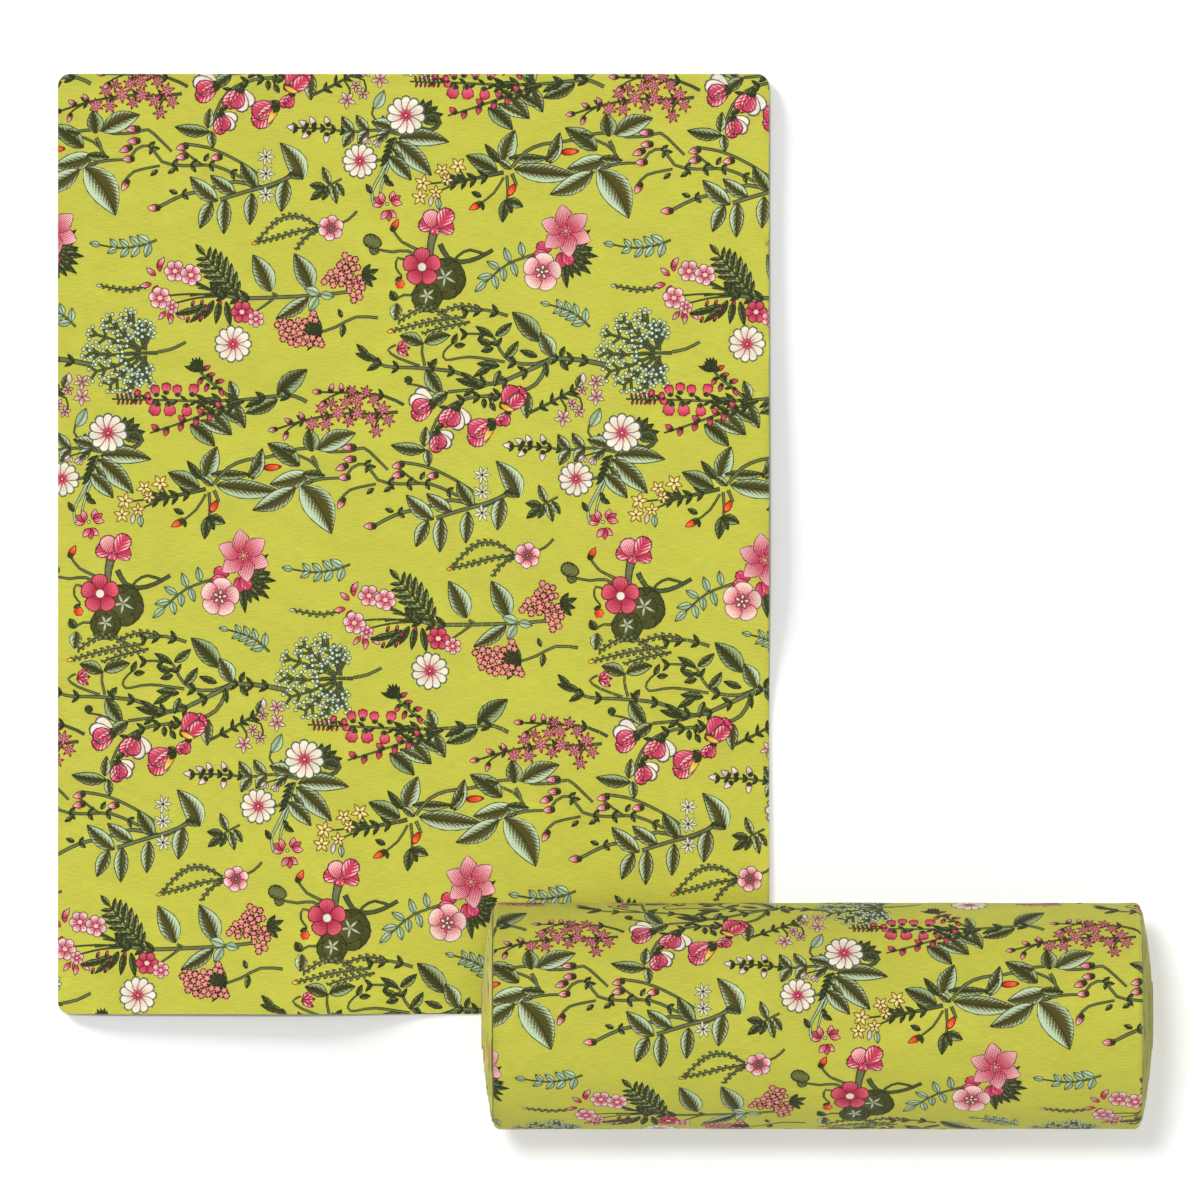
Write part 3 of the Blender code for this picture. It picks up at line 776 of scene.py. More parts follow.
def cut_out(outline, shift, inside, lines=(), printed=True, drift=None):
    """An outline and every copy of the print's shapes that reaches it, cut into triangles.

    A triangle belongs to the last shape drawn over it. Returns the points, the triangles, and for each triangle its
    shape's row (-1 for the ground) and how far that copy is moved."""
    outline = anticlockwise(np.array(outline, float))
    low, high = outline.min(axis=0), outline.max(axis=0)
    points, faces, owner, edges = [outline], [list(range(len(outline)))], [(-1, 0.0, 0.0)], []
    count = len(outline)
    moves = [
        (shift[0] + i * REPEAT_A[0] + j * REPEAT_B[0], shift[1] + i * REPEAT_A[1] + j * REPEAT_B[1])
        for j in range(-6, 7)
        for i in range(-6, 7)
    ]
    for k in range(len(POLYGONS) if printed else 0):
        shape = anticlockwise(POLYGONS[k])
        for dx, dy in moves:
            if drift:
                sx, sy = drift(shape.mean(axis=0) + (dx, dy), dy)
                dx, dy = dx + sx, dy + sy
            if (
                LOWEST[k, 0] + dx < high[0]
                and HIGHEST[k, 0] + dx > low[0]
                and LOWEST[k, 1] + dy < high[1]
                and HIGHEST[k, 1] + dy > low[1]
            ):
                points.append(shape + (dx, dy))
                faces.append(list(range(count, count + len(shape))))
                owner.append((k, dx, dy))
                count += len(shape)
    if len(inside):
        points.append(np.array(inside, float))
        count += len(inside)
    for line in lines:
        points.append(np.array(line, float))
        edges += [(count + i, count + i + 1) for i in range(len(line) - 1)]
        count += len(line)
    cut = delaunay_2d_cdt([Vector(p) for p in np.concatenate(points)], edges, faces, 0, 1e-5, True)
    where = np.array([tuple(p) for p in cut[0]], float)
    kept = [(t, max(f)) for t, f in zip(cut[2], cut[5]) if 0 in f]
    tris = np.array([t for t, _ in kept], int)
    last = np.array([owner[f] for _, f in kept])
    used, back = np.unique(tris, return_inverse=True)
    return where[used], back.reshape(tris.shape), last[:, 0].astype(int), last[:, 1:]


def loop_of(tris):
    """The corners along the outside of some triangles, in order."""
    edge = {}
    seen = set()
    for a, b, c in tris:
        for e in ((a, b), (b, c), (c, a)):
            if (e[1], e[0]) in seen:
                seen.discard((e[1], e[0]))
                edge.pop(e[1], None) if edge.get(e[1]) == e[0] else None
            else:
                seen.add(e)
    follow = {a: b for a, b in seen}
    first = min(follow)
    out, here = [first], follow[first]
    while here != first:
        out.append(here)
        here = follow[here]
    return out


def cloth_piece(name, outline, shift, inside, lines, place, back_inside, back_lines, thick=CLOTH, notch=0.0, bake=0.9, drift=None):
    """A closed piece of printed cloth. place(points, depth) gives the corners and normals of points in the drawing."""
    flat, tris, row, moved = cut_out(outline, shift, inside, lines, drift=drift)
    # the drawing's y runs down, so its triangles are turned over to face up
    tris = tris[:, ::-1]
    rim = loop_of(tris)
    back_flat, back_tris, _, _ = cut_out(flat[rim], (0, 0), back_inside, back_lines, printed=False)
    match = {tuple(np.round(p, 3)): i for i, p in enumerate(back_flat)}
    back_rim = [match[tuple(np.round(flat[i], 3))] for i in rim]
    front, up = place(flat, 0.0)
    behind, down = place(back_flat, thick)
    n = len(front)
    corners = [front, behind]
    rings = [np.array(rim)]
    extra = n + len(behind)
    if notch:
        # two layers at the edge, with a groove between them
        middle = flat[rim].mean(axis=0)
        for depth, inset in ((0.42, 0.0), (0.5, notch), (0.58, 0.0)):
            here = flat[rim]
            towards = middle - here
            step = np.stack(
                [np.sign(towards[:, 0]) * (np.abs(here[:, 0] - here[:, 0].clip(flat[:, 0].min() + 1e-3, flat[:, 0].max() - 1e-3)) > 0), 0 * towards[:, 1]],
                axis=1,
            )
            ends = np.abs(here[:, 1] - flat[:, 1].max()) < 1e-3
            step[:, 1] = np.where(ends, -1.0, step[:, 1])
            edge, _ = place(here + step * inset / UNIT, thick * depth)
            corners.append(edge)
            rings.append(np.arange(extra, extra + len(rim)))
            extra += len(rim)
    rings.append(np.array(back_rim) + n)
    quads = []
    for a, b in zip(rings, rings[1:]):
        quads.append(np.stack([np.roll(a, -1), a, b, np.roll(b, -1)], axis=1))
    quads = np.concatenate(quads)
    where = np.concatenate(corners)
    back_tris = back_tris + n
    mesh = bpy.data.meshes.new(name)
    mesh.vertices.add(len(where))
    mesh.vertices.foreach_set("co", where.ravel())
    loops = np.concatenate([tris.ravel(), back_tris.ravel(), quads.ravel()])
    sizes = np.concatenate([np.full(len(tris), 3), np.full(len(back_tris), 3), np.full(len(quads), 4)])
    starts = np.concatenate([[0], np.cumsum(sizes)[:-1]])
    mesh.loops.add(len(loops))
    mesh.loops.foreach_set("vertex_index", loops)
    mesh.polygons.add(len(sizes))
    mesh.polygons.foreach_set("loop_start", starts)
    mesh.polygons.foreach_set("loop_total", sizes)
    mesh.update(calc_edges=True)
    mesh.polygons.foreach_set("use_smooth", np.ones(len(sizes), bool))
    # where each corner is in the drawing
    in_drawing = np.concatenate([flat, back_flat] + [flat[rim]] * (3 if notch else 0))[loops]
    # the print: each corner's place in its shape
    f = 3 * len(tris)
    shape = np.repeat(row, 3)
    d = in_drawing[:f] - np.repeat(moved, 3, axis=0)
    r = TABLE[np.maximum(shape, 0)]
    d = d - r[:, 0:2]
    t = (d * r[:, 2:4]).sum(axis=1)
    v = (d * r[:, 4:6]).sum(axis=1)
    on = shape >= 0
    total = len(loops)
    loc, shp, ink_a, ink_b, line = (np.zeros((total, 4)) for _ in range(5))
    loc[:, 3] = -1.0
    loc[f:, 3] = -2.0
    loc[:f][on] = np.stack([t, v, r[:, 12], r[:, 6]], axis=1)[on]
    shp[:f][on] = np.stack([r[:, 7], r[:, 8], r[:, 9], r[:, 10]], axis=1)[on]
    ink_a[:f][on] = np.concatenate([r[:, 15:18], r[:, 13:14]], axis=1)[on]
    ink_b[:f][on] = np.concatenate([r[:, 18:21], r[:, 14:15]], axis=1)[on]
    line[:f][on] = np.concatenate([r[:, 21:24], r[:, 11:12]], axis=1)[on]
    for label, values in (("p_loc", loc), ("p_shp", shp), ("p_inka", ink_a), ("p_inkb", ink_b), ("p_line", line)):
        mesh.attributes.new(label, "FLOAT_COLOR", "CORNER").data.foreach_set("color", values.ravel())
    uv = mesh.uv_layers.new(name="Flat")
    uv.data.foreach_set("uv", (in_drawing * UNIT * (1, -1)).ravel())
    # a map for the bake: the front fills most of it
    low, high = flat.min(axis=0), flat.max(axis=0)
    span = (high - low).max()
    chart = (in_drawing - low) / span
    chart[:, 1] = (high[1] - low[1]) / span - chart[:, 1]
    wide = (high[0] - low[0]) / span
    room = max(1 - 0.97 * bake * wide, 0.08) - 0.04
    small = min(room / max(wide, 0.05), 0.3) * 0.9
    chart[:f] = chart[:f] * bake + 0.01
    if wide > 0.85:
        chart[f:] = chart[f:] * 0.07 + (0.02, 0.925)
    else:
        chart[f:] = chart[f:] * small + (0.02 + bake * wide, 0.01)
    baked = mesh.uv_layers.new(name="OFBake")
    baked.data.foreach_set("uv", chart.ravel())
    # smooth normals from the cloth's own form
    normals = np.zeros((total, 3))
    normals[:f] = up[tris.ravel()]
    b = 3 * len(back_tris)
    normals[f : f + b] = -down[(back_tris - n).ravel()]
    flat_normals = np.zeros(3 * len(sizes))
    mesh.polygons.foreach_get("normal", flat_normals)
    normals[f + b :] = np.repeat(flat_normals.reshape(-1, 3)[len(tris) + len(back_tris) :], 4, axis=0)
    mesh.normals_split_custom_set([tuple(k) for k in normals])
    made = bpy.data.objects.new(name, mesh)
    bpy.context.scene.collection.objects.link(made)
    return made

# ---- materials ----------------------------------------------------------------------------------------------
class Graph:
    """A material's nodes, built by calls."""

    def __init__(self, name, roughness=0.8, **constants):
        self.material = bpy.data.materials.new(name)
        self.material.use_nodes = True
        self.nodes, self.links = self.material.node_tree.nodes, self.material.node_tree.links
        self.shader = self.nodes["Principled BSDF"]
        self.shader.inputs["Roughness"].default_value = roughness
        for label, value in constants.items():
            self.shader.inputs[label.replace("_", " ")].default_value = value

    def feed(self, socket, value):
        if isinstance(value, bpy.types.NodeSocket):
            self.links.new(value, socket)
        else:
            socket.default_value = value

    def math(self, operation, a, b=0.0, c=0.0, clamp=False):
        n = self.nodes.new("ShaderNodeMath")
        n.operation, n.use_clamp = operation, clamp
        for socket, value in zip(n.inputs, (a, b, c)):
            self.feed(socket, value)
        return n.outputs[0]

    def vector(self, operation, a, b=(0, 0, 0), scale=1.0):
        n = self.nodes.new("ShaderNodeVectorMath")
        n.operation = operation
        self.feed(n.inputs[0], a)
        if operation == "SCALE":
            self.feed(n.inputs[3], scale)
        else:
            self.feed(n.inputs[1], b)
        return n.outputs["Value" if operation in ("LENGTH", "DOT_PRODUCT") else "Vector"]

    def ramp(self, value, low, high, to_low=0.0, to_high=1.0):
        n = self.nodes.new("ShaderNodeMapRange")
        n.interpolation_type = "SMOOTHSTEP"
        for socket, k in zip(n.inputs, (value, low, high, to_low, to_high)):
            self.feed(socket, k)
        return n.outputs[0]

    def mix(self, share, a, b):
        n = self.nodes.new("ShaderNodeMix")
        n.data_type = "RGBA"
        self.feed(n.inputs[0], share)
        self.feed(n.inputs[6], a)
        self.feed(n.inputs[7], b)
        return n.outputs[2]

    def noise(self, place, scale, detail=2.0, stretch=(1, 1, 1)):
        n = self.nodes.new("ShaderNodeTexNoise")
        n.inputs["Scale"].default_value = scale
        n.inputs["Detail"].default_value = detail
        self.links.new(self.vector("MULTIPLY", place, stretch), n.inputs["Vector"])
        return n.outputs["Fac"]

    def attribute(self, name):
        n = self.nodes.new("ShaderNodeAttribute")
        n.attribute_name = name
        return n

    def parts(self, vector):
        n = self.nodes.new("ShaderNodeSeparateXYZ")
        self.links.new(vector, n.inputs[0])
        return n.outputs

    def colour(self, value):
        self.feed(self.shader.inputs["Base Color"], value)

    def rough(self, value):
        self.feed(self.shader.inputs["Roughness"], value)

    def bump(self, height, distance, strength=1.0):
        n = self.nodes.new("ShaderNodeBump")
        n.inputs["Strength"].default_value = strength
        n.inputs["Distance"].default_value = distance
        self.links.new(height, n.inputs["Height"])
        self.links.new(n.outputs[0], self.shader.inputs["Normal"])

    def object_place(self):
        return self.nodes.new("ShaderNodeTexCoord").outputs["Object"]

    def flat_place(self):
        n = self.nodes.new("ShaderNodeUVMap")
        n.uv_map = "Flat"
        return n.outputs[0]


def threads(g, place):
    """Plain weave: (a colour factor round 1, a height from 0 to 1). place is flat cloth in metres, weft along x."""
    x, y, _ = g.parts(place)
    slub = g.noise(place, 1.0, 2.0, (95.0, 1750.0, 0))
    fine = g.noise(place, 1.0, 1.0, (1500.0, 420.0, 0))
    patch = g.noise(place, 1.0, 2.0, (26.0, 60.0, 0))
    weft = g.math("SINE", g.math("MULTIPLY", y, math.tau / 0.00058))
    warp = g.math("SINE", g.math("MULTIPLY", x, math.tau / 0.00052))
    weave = g.math("MULTIPLY_ADD", g.math("MULTIPLY", weft, warp), 0.5, 0.5)
    tone = g.math("ADD", g.ramp(slub, 0.25, 0.75, 0.90, 1.10), g.ramp(fine, 0.25, 0.75, -0.045, 0.045))
    tone = g.math("MULTIPLY", tone, g.ramp(patch, 0.3, 0.7, 0.975, 1.025))
    tone = g.math("MULTIPLY", tone, g.math("MULTIPLY_ADD", weave, 0.05, 0.975))
    height = g.math("ADD", g.math("MULTIPLY", weave, 0.45), g.math("MULTIPLY", slub, 0.75))
    return tone, height


GROUND = (0.482, 0.475, 0.0605, 1.0)
REVERSE = (0.47, 0.47, 0.125, 1.0)


def printed_cloth(name, ground=GROUND):
    g = Graph(name, 0.86, Sheen_Weight=0.05, Sheen_Roughness=0.5, Specular_IOR_Level=0.12)
    loc, shp, ink_a, ink_b, line = (g.attribute(k) for k in ("p_loc", "p_shp", "p_inka", "p_inkb", "p_line"))
    t, v, width = g.parts(loc.outputs["Vector"])
    kind = loc.outputs["Alpha"]
    p, q, bend = g.parts(shp.outputs["Vector"])
    half = shp.outputs["Alpha"]
    length, hatch, across = line.outputs["Alpha"], ink_a.outputs["Alpha"], ink_b.outputs["Alpha"]
    t = g.math("MINIMUM", g.math("MAXIMUM", t, 0.0001), 0.9999)
    # how wide the shape is here, and how far its edge is, both in half widths
    from_middle = g.math("SUBTRACT", t, 0.5)
    bow = g.math("MULTIPLY", g.math("MULTIPLY", t, g.math("SUBTRACT", 1.0, t)), g.math("MULTIPLY", bend, 4.0))
    side = g.math("ABSOLUTE", g.math("SUBTRACT", v, bow))
    pointed = g.math("POWER", g.math("SINE", g.math("MULTIPLY", g.math("POWER", t, p), math.pi)), q)
    broad = g.math("MULTIPLY_ADD", p, from_middle, 1.0)
    square = g.math("ADD", g.math("POWER", g.math("ABSOLUTE", g.math("MULTIPLY", from_middle, 2.0)), 2.0),
                    g.math("POWER", g.math("DIVIDE", side, broad), 2.0))  # fmt: skip
    oval = g.math("SUBTRACT", 1.0, g.math("SQRT", square))
    is_oval = g.math("MULTIPLY", g.math("GREATER_THAN", kind, 0.5), g.math("LESS_THAN", kind, 1.5))
    is_band = g.math("GREATER_THAN", kind, 1.5)
    is_leaf = g.math("LESS_THAN", kind, 0.5)
    edge = g.math("ADD", g.math("MULTIPLY", g.math("SUBTRACT", pointed, side), is_leaf),
                  g.math("ADD", g.math("MULTIPLY", oval, is_oval), g.math("MULTIPLY", g.math("SUBTRACT", 1.0, side), is_band)))  # fmt: skip
    edge = g.math("MULTIPLY", edge, half)
    place = g.flat_place()
    wander = g.noise(place, 1.0, 2.0, (900.0, 900.0, 0))
    drawn = g.ramp(g.math("ADD", edge, g.math("MULTIPLY_ADD", wander, -0.7, 0.35)), g.math("MULTIPLY", width, 0.55), g.math("MULTIPLY", width, 1.3), 1.0, 0.0)
    # leaves are shaded from the middle out with slanting veins, petals from the base out with streaks
    spread = g.math("DIVIDE", side, g.math("MAXIMUM", g.math("ADD", g.math("MULTIPLY", pointed, is_leaf), g.math("SUBTRACT", 1.0, is_leaf)), 0.08))
    veins = g.math("DIVIDE", g.math("SUBTRACT", g.math("MULTIPLY", t, length), g.math("MULTIPLY", g.math("MULTIPLY", side, half), 1.25)), 5.0)
    veins = g.math("ADD", veins, g.math("MULTIPLY", wander, 0.7))
    streaks = g.math("MULTIPLY", v, g.math("MULTIPLY", half, 0.62))
    fan = g.math("ADD", g.math("MULTIPLY", veins, across), g.math("MULTIPLY", streaks, g.math("SUBTRACT", 1.0, across)))
    stripe = g.math("ABSOLUTE", g.math("MULTIPLY_ADD", g.math("FRACT", fan), 2.0, -1.0))
    depth = g.math("ADD", g.math("MULTIPLY", g.math("POWER", spread, 1.25), across), g.math("MULTIPLY", t, g.math("SUBTRACT", 1.0, across)))
    depth = g.math("ADD", depth, g.math("MULTIPLY", g.math("MULTIPLY_ADD", stripe, 2.0, -1.0), hatch))
    depth = g.math("ADD", depth, g.math("MULTIPLY_ADD", wander, 0.9, -0.45))
    lit = g.ramp(g.math("SUBTRACT", v, bow), -0.25, 0.25, -0.10, 0.26)
    depth = g.math("ADD", depth, g.math("MULTIPLY", lit, g.math("MULTIPLY", is_leaf, across)))
    body = g.mix(g.ramp(depth, 0.30, 0.90), ink_a.outputs["Color"], ink_b.outputs["Color"])
    rib = g.math("MULTIPLY", g.math("MULTIPLY", is_leaf, across), g.ramp(g.math("MULTIPLY", side, half), 0.25, 0.8, 0.75, 0.0))
    body = g.mix(rib, body, line.outputs["Color"])
    body = g.mix(g.math("MULTIPLY", drawn, 0.95), body, line.outputs["Color"])
    on = g.math("GREATER_THAN", kind, -0.5)
    reverse = g.math("LESS_THAN", kind, -1.5)
    tone, height = threads(g, place)
    base = g.mix(on, g.mix(reverse, ground, REVERSE), body)
    g.colour(g.vector("SCALE", base, scale=tone))
    g.rough(g.math("MULTIPLY_ADD", wander, 0.10, 0.80))
    g.bump(height, 0.00022, 0.75)
    return g.material


def card(name, tone, pitch, seam):
    """Kraft board wound from a strip that is pitch wide, with its seam showing."""
    g = Graph(name, 0.85, Specular_IOR_Level=0.25)
    place = g.object_place()
    x, y, z = g.parts(place)
    turn = g.math("ARCTAN2", g.math("SUBTRACT", z, ROLL_Z), g.math("SUBTRACT", y, ROLL_Y))
    run = g.math("FRACT", g.math("ADD", g.math("DIVIDE", x, pitch), g.math("DIVIDE", turn, math.tau)))
    gap = g.ramp(g.math("ABSOLUTE", g.math("SUBTRACT", run, 0.5)), 0.0, 0.02, 1.0, 0.0)
    fibre = g.noise(place, 1.0, 4.0, (260.0, 900.0, 900.0))
    fleck = g.noise(place, 1.0, 2.0, (1100.0, 1600.0, 1600.0))
    cloud = g.noise(place, 1.0, 2.0, (30.0, 45.0, 45.0))
    shade = g.math("ADD", g.ramp(fibre, 0.3, 0.7, 0.86, 1.10), g.ramp(cloud, 0.3, 0.7, -0.07, 0.07))
    shade = g.math("MULTIPLY", shade, g.ramp(fleck, 0.66, 0.74, 1.0, 0.72))
    shade = g.math("MULTIPLY", shade, g.math("MULTIPLY_ADD", gap, -seam, 1.0))
    g.colour(g.vector("SCALE", (*lin(*tone), 1.0)[:3], scale=shade))
    g.rough(g.ramp(fibre, 0.3, 0.7, 0.78, 0.93))
    g.bump(g.math("ADD", fibre, g.math("MULTIPLY", gap, -2.0)), 0.00025, 0.7)
    return g.material


def crepe_tape():
    g = Graph("paper_tape", 0.7, Specular_IOR_Level=0.3)
    place = g.object_place()
    creases = g.noise(place, 1.0, 3.0, (1400.0, 160.0, 160.0))
    cloud = g.noise(place, 1.0, 2.0, (60.0, 60.0, 60.0))
    shade = g.math("ADD", g.ramp(creases, 0.3, 0.7, 0.90, 1.08), g.ramp(cloud, 0.3, 0.7, -0.04, 0.04))
    g.colour(g.vector("SCALE", lin(226, 208, 160), scale=shade))
    g.rough(g.ramp(creases, 0.3, 0.7, 0.6, 0.8))
    g.bump(creases, 0.0002, 0.9)
    return g.material


def clear_tape():
    g = Graph("clear_tape", 0.32, Alpha=0.34, Specular_IOR_Level=0.6)
    place = g.object_place()
    grain = g.noise(place, 1.0, 3.0, (700.0, 700.0, 700.0))
    cloud = g.noise(place, 1.0, 2.0, (90.0, 90.0, 90.0))
    shade = g.math("ADD", g.ramp(grain, 0.3, 0.7, 0.96, 1.03), g.ramp(cloud, 0.35, 0.65, -0.05, 0.05))
    g.colour(g.vector("SCALE", lin(236, 238, 226), scale=shade))
    g.rough(g.ramp(cloud, 0.3, 0.7, 0.26, 0.42))
    g.bump(grain, 0.0001, 0.4)
    return g.material


def cloth_edges():
    """The ends of the roll: cut and folded edges of the cloth, turn on turn."""
    g = Graph("roll_ends", 0.92, Sheen_Weight=0.2, Sheen_Roughness=0.6, Specular_IOR_Level=0.15)
    tint = g.attribute("tint").outputs["Color"]
    place = g.object_place()
    fuzz = g.noise(place, 1.0, 3.0, (900.0, 1300.0, 1300.0))
    cloud = g.noise(place, 1.0, 2.0, (40.0, 60.0, 60.0))
    shade = g.math("MULTIPLY", g.ramp(fuzz, 0.25, 0.75, 0.80, 1.12), g.ramp(cloud, 0.3, 0.7, 0.95, 1.04))
    g.colour(g.vector("SCALE", tint, scale=shade))
    g.rough(g.ramp(fuzz, 0.3, 0.7, 0.86, 0.97))
    g.bump(fuzz, 0.0004, 0.8)
    return g.material

# ---- the flat length ----------------------------------------------------------------------------------------
def drawing_of(x, y):
    return 604 + x / UNIT, 600.5 - y / UNIT


def ease(x):
    x = np.clip(x, 0, 1)
    return x * x * (3 - 2 * x)


def lie(x, y):
    """How high the flat length's underside lies: almost flat, with a few soft swells and its free edges just lifted."""
    left, right = x - (SHEET_X - SHEET_WIDTH / 2), SHEET_X + SHEET_WIDTH / 2 - x
    front, rear = y - (SHEET_Y - SHEET_LENGTH / 2), SHEET_Y + SHEET_LENGTH / 2 - y
    z = 0.0011 * (1 + np.sin(9.5 * x + 6.0 * y + 0.6)) * (1 + 0.5 * np.sin(13.0 * y - 4.0 * x))
    z += 0.0006 * (1 + np.sin(23 * x - 9 * y + 2.0))
    z = z * ease(left / 0.05) * ease(rear / 0.05) * (0.35 + 0.65 * ease(right / 0.10))
    z += (0.0072 + 0.0014 * np.sin(11 * y + 1.0)) * np.exp(-right / 0.045) * ease((y + 0.12) / 0.16) * ease(rear / 0.05 + 0.35)
    z += (0.0066 + 0.0014 * np.sin(17 * x)) * np.exp(-front / 0.042) * ease((-0.16 - x) / 0.12) * ease(left / 0.04 + 0.35)
    z += 0.0012 * np.exp(-left / 0.012) + 0.0012 * np.exp(-rear / 0.012)
    # flat where the roll rests on it
    near = np.hypot(np.maximum(0, ROLL_X - 0.30 - x), y - ROLL_Y)
    return z * ease((near - 0.018) / 0.085)


def lay(points, depth):
    x, y = (points[:, 0] - 604) * UNIT, (600.5 - points[:, 1]) * UNIT
    h = 1e-4
    nx, ny = -(lie(x + h, y) - lie(x - h, y)) / (2 * h), -(lie(x, y + h) - lie(x, y - h)) / (2 * h)
    n = np.stack([nx, ny, np.ones_like(nx)], axis=1)
    n /= np.linalg.norm(n, axis=1)[:, None]
    z = lie(x, y) + 0.00008 + CLOTH - depth
    return np.stack([x, y, z], axis=1), n


def grid(low, high, step):
    nx, ny = (max(2, int(math.ceil((b - a) / step))) for a, b in zip(low, high))
    return [(low[0] + (high[0] - low[0]) * (i + 0.5) / nx, low[1] + (high[1] - low[1]) * (j + 0.5) / ny) for j in range(ny) for i in range(nx)]


def rounded(low, high, r, step):
    """A rounded rectangle's outline, with a point every step or so."""
    (x0, y0), (x1, y1) = low, high
    out = []
    for cx, cy, a in ((x1 - r, y1 - r, 0), (x0 + r, y1 - r, 90), (x0 + r, y0 + r, 180), (x1 - r, y0 + r, 270)):
        out += [(cx + r * math.cos(math.radians(a + 90 * i / 6)), cy + r * math.sin(math.radians(a + 90 * i / 6))) for i in range(7)]
    full = []
    for a, b in zip(out, out[1:] + out[:1]):
        n = max(1, int(math.dist(a, b) / step))
        full += [(a[0] + (b[0] - a[0]) * i / n, a[1] + (b[1] - a[1]) * i / n) for i in range(n)]
    return full


# The rows of the print on the flat length are not quite in step with the repeat. For each row off the first drawn one:
# places in the drawing, and how far the print lies from the repeat there.
DRIFTS = {
    -1: ((563, 168, -10, 8), (713, 95, -14, 8), (641, 153, -9, 8), (459, 164, -10, 4), (627, 215, -12, 5), (475, 203, -10, 3)),
    1: ((231, 577, -16, 3), (396, 614, -15, 0), (606, 585, -10, 6), (430, 675, -9, 6), (334, 679, -10, 2),
        (131, 740, -11, 8), (535, 738, -1, 11), (470, 816, -1, 12), (657, 742, 1, 10)),
    2: ((308, 908, 7, 7),),
}  # fmt: skip


def drift(at, down):
    known = DRIFTS.get(round(down / REPEAT_B[1]))
    if not known:
        return 0.0, 0.0
    near = [math.exp(-((at[0] - x) ** 2 + (at[1] - y) ** 2) / (2 * 90.0**2)) + 1e-6 for x, y, _, _ in known]
    total = sum(near)
    return sum(n * k[2] for n, k in zip(near, known)) / total, sum(n * k[3] for n, k in zip(near, known)) / total


low = drawing_of(SHEET_X - SHEET_WIDTH / 2, SHEET_Y + SHEET_LENGTH / 2)
high = drawing_of(SHEET_X + SHEET_WIDTH / 2, SHEET_Y - SHEET_LENGTH / 2)
cloth_flat = cloth_piece(
    "cloth_flat",
    rounded(low, high, SHEET_CORNER / UNIT, 9.0),
    (0, 0),
    grid((low[0] + 5, low[1] + 5), (high[0] - 5, high[1] - 5), 12.0),
    (),
    lay,
    grid((low[0] + 8, low[1] + 8), (high[0] - 8, high[1] - 8), 16.0),
    (),
    drift=drift,
)
flat_material = printed_cloth("printed_cotton")
cloth_flat.data.materials.append(flat_material)
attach(cloth_flat, "sheet")
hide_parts("flat_length")

# ---- the roll's outer turn and its free end -----------------------------------------------------------------
ROLL_SHIFT = (14.0, 190.0)
PER_DEGREE = ROLL_RADIUS / UNIT * math.pi / 180
STRAIGHT = 0.300 - END_DOME * ROLL_RADIUS**2 - EDGE_ROUND  # half the length of the outer turn before its edges turn in
CURL = EDGE_ROUND * math.pi / 2 * 0.96


def turn_of(degrees):
    return 1013 + PER_DEGREE * (degrees - 450)


def drop_at(degrees):
    """How far below the full radius the outside lies, by how far round it is. 587 is the free end."""
    d = np.asarray(degrees, float)
    return np.where(d < TAIL_END, TURN_DROP, TURN_DROP * np.clip((TAIL_START + 360 - d) / (TAIL_START + 360 - TAIL_END), 0, 1))


def wrap(drop, lift=0.0, ripple=True, shorter=0.0):
    """Lays flat cloth round the roll, with its two edges turned in over the ends."""

    def at(points, depth):
        u = (points[:, 0] - 604) * UNIT - ROLL_X
        degrees = (points[:, 1] - 1013) / PER_DEGREE + 450
        a = np.radians(degrees)
        reach = np.abs(u)
        inner = STRAIGHT - shorter
        f = np.clip((reach - inner) / EDGE_ROUND, 0, CURL / EDGE_ROUND)
        x = np.sign(u) * (np.minimum(reach, inner) + EDGE_ROUND * np.sin(f))
        r = ROLL_RADIUS - drop(degrees) + lift - EDGE_ROUND * (1 - np.cos(f))
        if ripple:
            # a little uneven, as wound cloth is
            soft = 0.00016 * np.sin(61 * u + 0.9 * np.sin(3 * a)) + 0.00014 * np.sin(17 * u + 4 * a + 1.0)
            soft += 0.00022 * np.sin(2 * a + 5 * u) * np.sin(9 * u + 1)
            r = r + (soft - 0.0003) * ease((inner - reach) / 0.02 + 0.3)
        n = np.stack([np.sign(u) * np.sin(f), np.cos(a) * np.cos(f), np.sin(a) * np.cos(f)], axis=1)
        centre = np.stack([ROLL_X + x, ROLL_Y + r * np.cos(a), ROLL_Z + r * np.sin(a)], axis=1)
        return centre - n * (depth), n

    return at


def roll_lines(x0, x1, y0, y1, step):
    """Lines along the roll, and across it where its edges turn in, so that the cut cloth bends smoothly."""
    n = int(math.ceil((y1 - y0) / (PER_DEGREE * step)))
    rows = [y0 + (y1 - y0) * j / n for j in range(1, n)]
    lines = [[(x0 - 5, y), (x1 + 5, y)] for y in rows]
    for k in range(5):
        e = (EDGE_ROUND * 0.96 * math.pi / 2) * k / 4.0 / UNIT
        for x in (x0 + CURL / UNIT - e, x1 - CURL / UNIT + e):
            if x0 + 0.5 < x < x1 - 0.5:
                lines.append([(x, y0 - 5), (x, y1 + 5)])
    n = int((x1 - x0) / 30)
    lines += [[(x0 + (x1 - x0) * i / n, y0 - 5), (x0 + (x1 - x0) * i / n, y1 + 5)] for i in range(1, n)]
    return lines


def roll_outline(x0, x1, y0, y1):
    nx, ny = int((x1 - x0) / 10), int((y1 - y0) / 5)
    out = [(x0 + (x1 - x0) * i / nx, y0) for i in range(nx)] + [(x1, y0 + (y1 - y0) * j / ny) for j in range(ny)]
    out += [(x1 - (x1 - x0) * i / nx, y1) for i in range(nx)] + [(x0, y1 - (y1 - y0) * j / ny) for j in range(ny)]
    return out


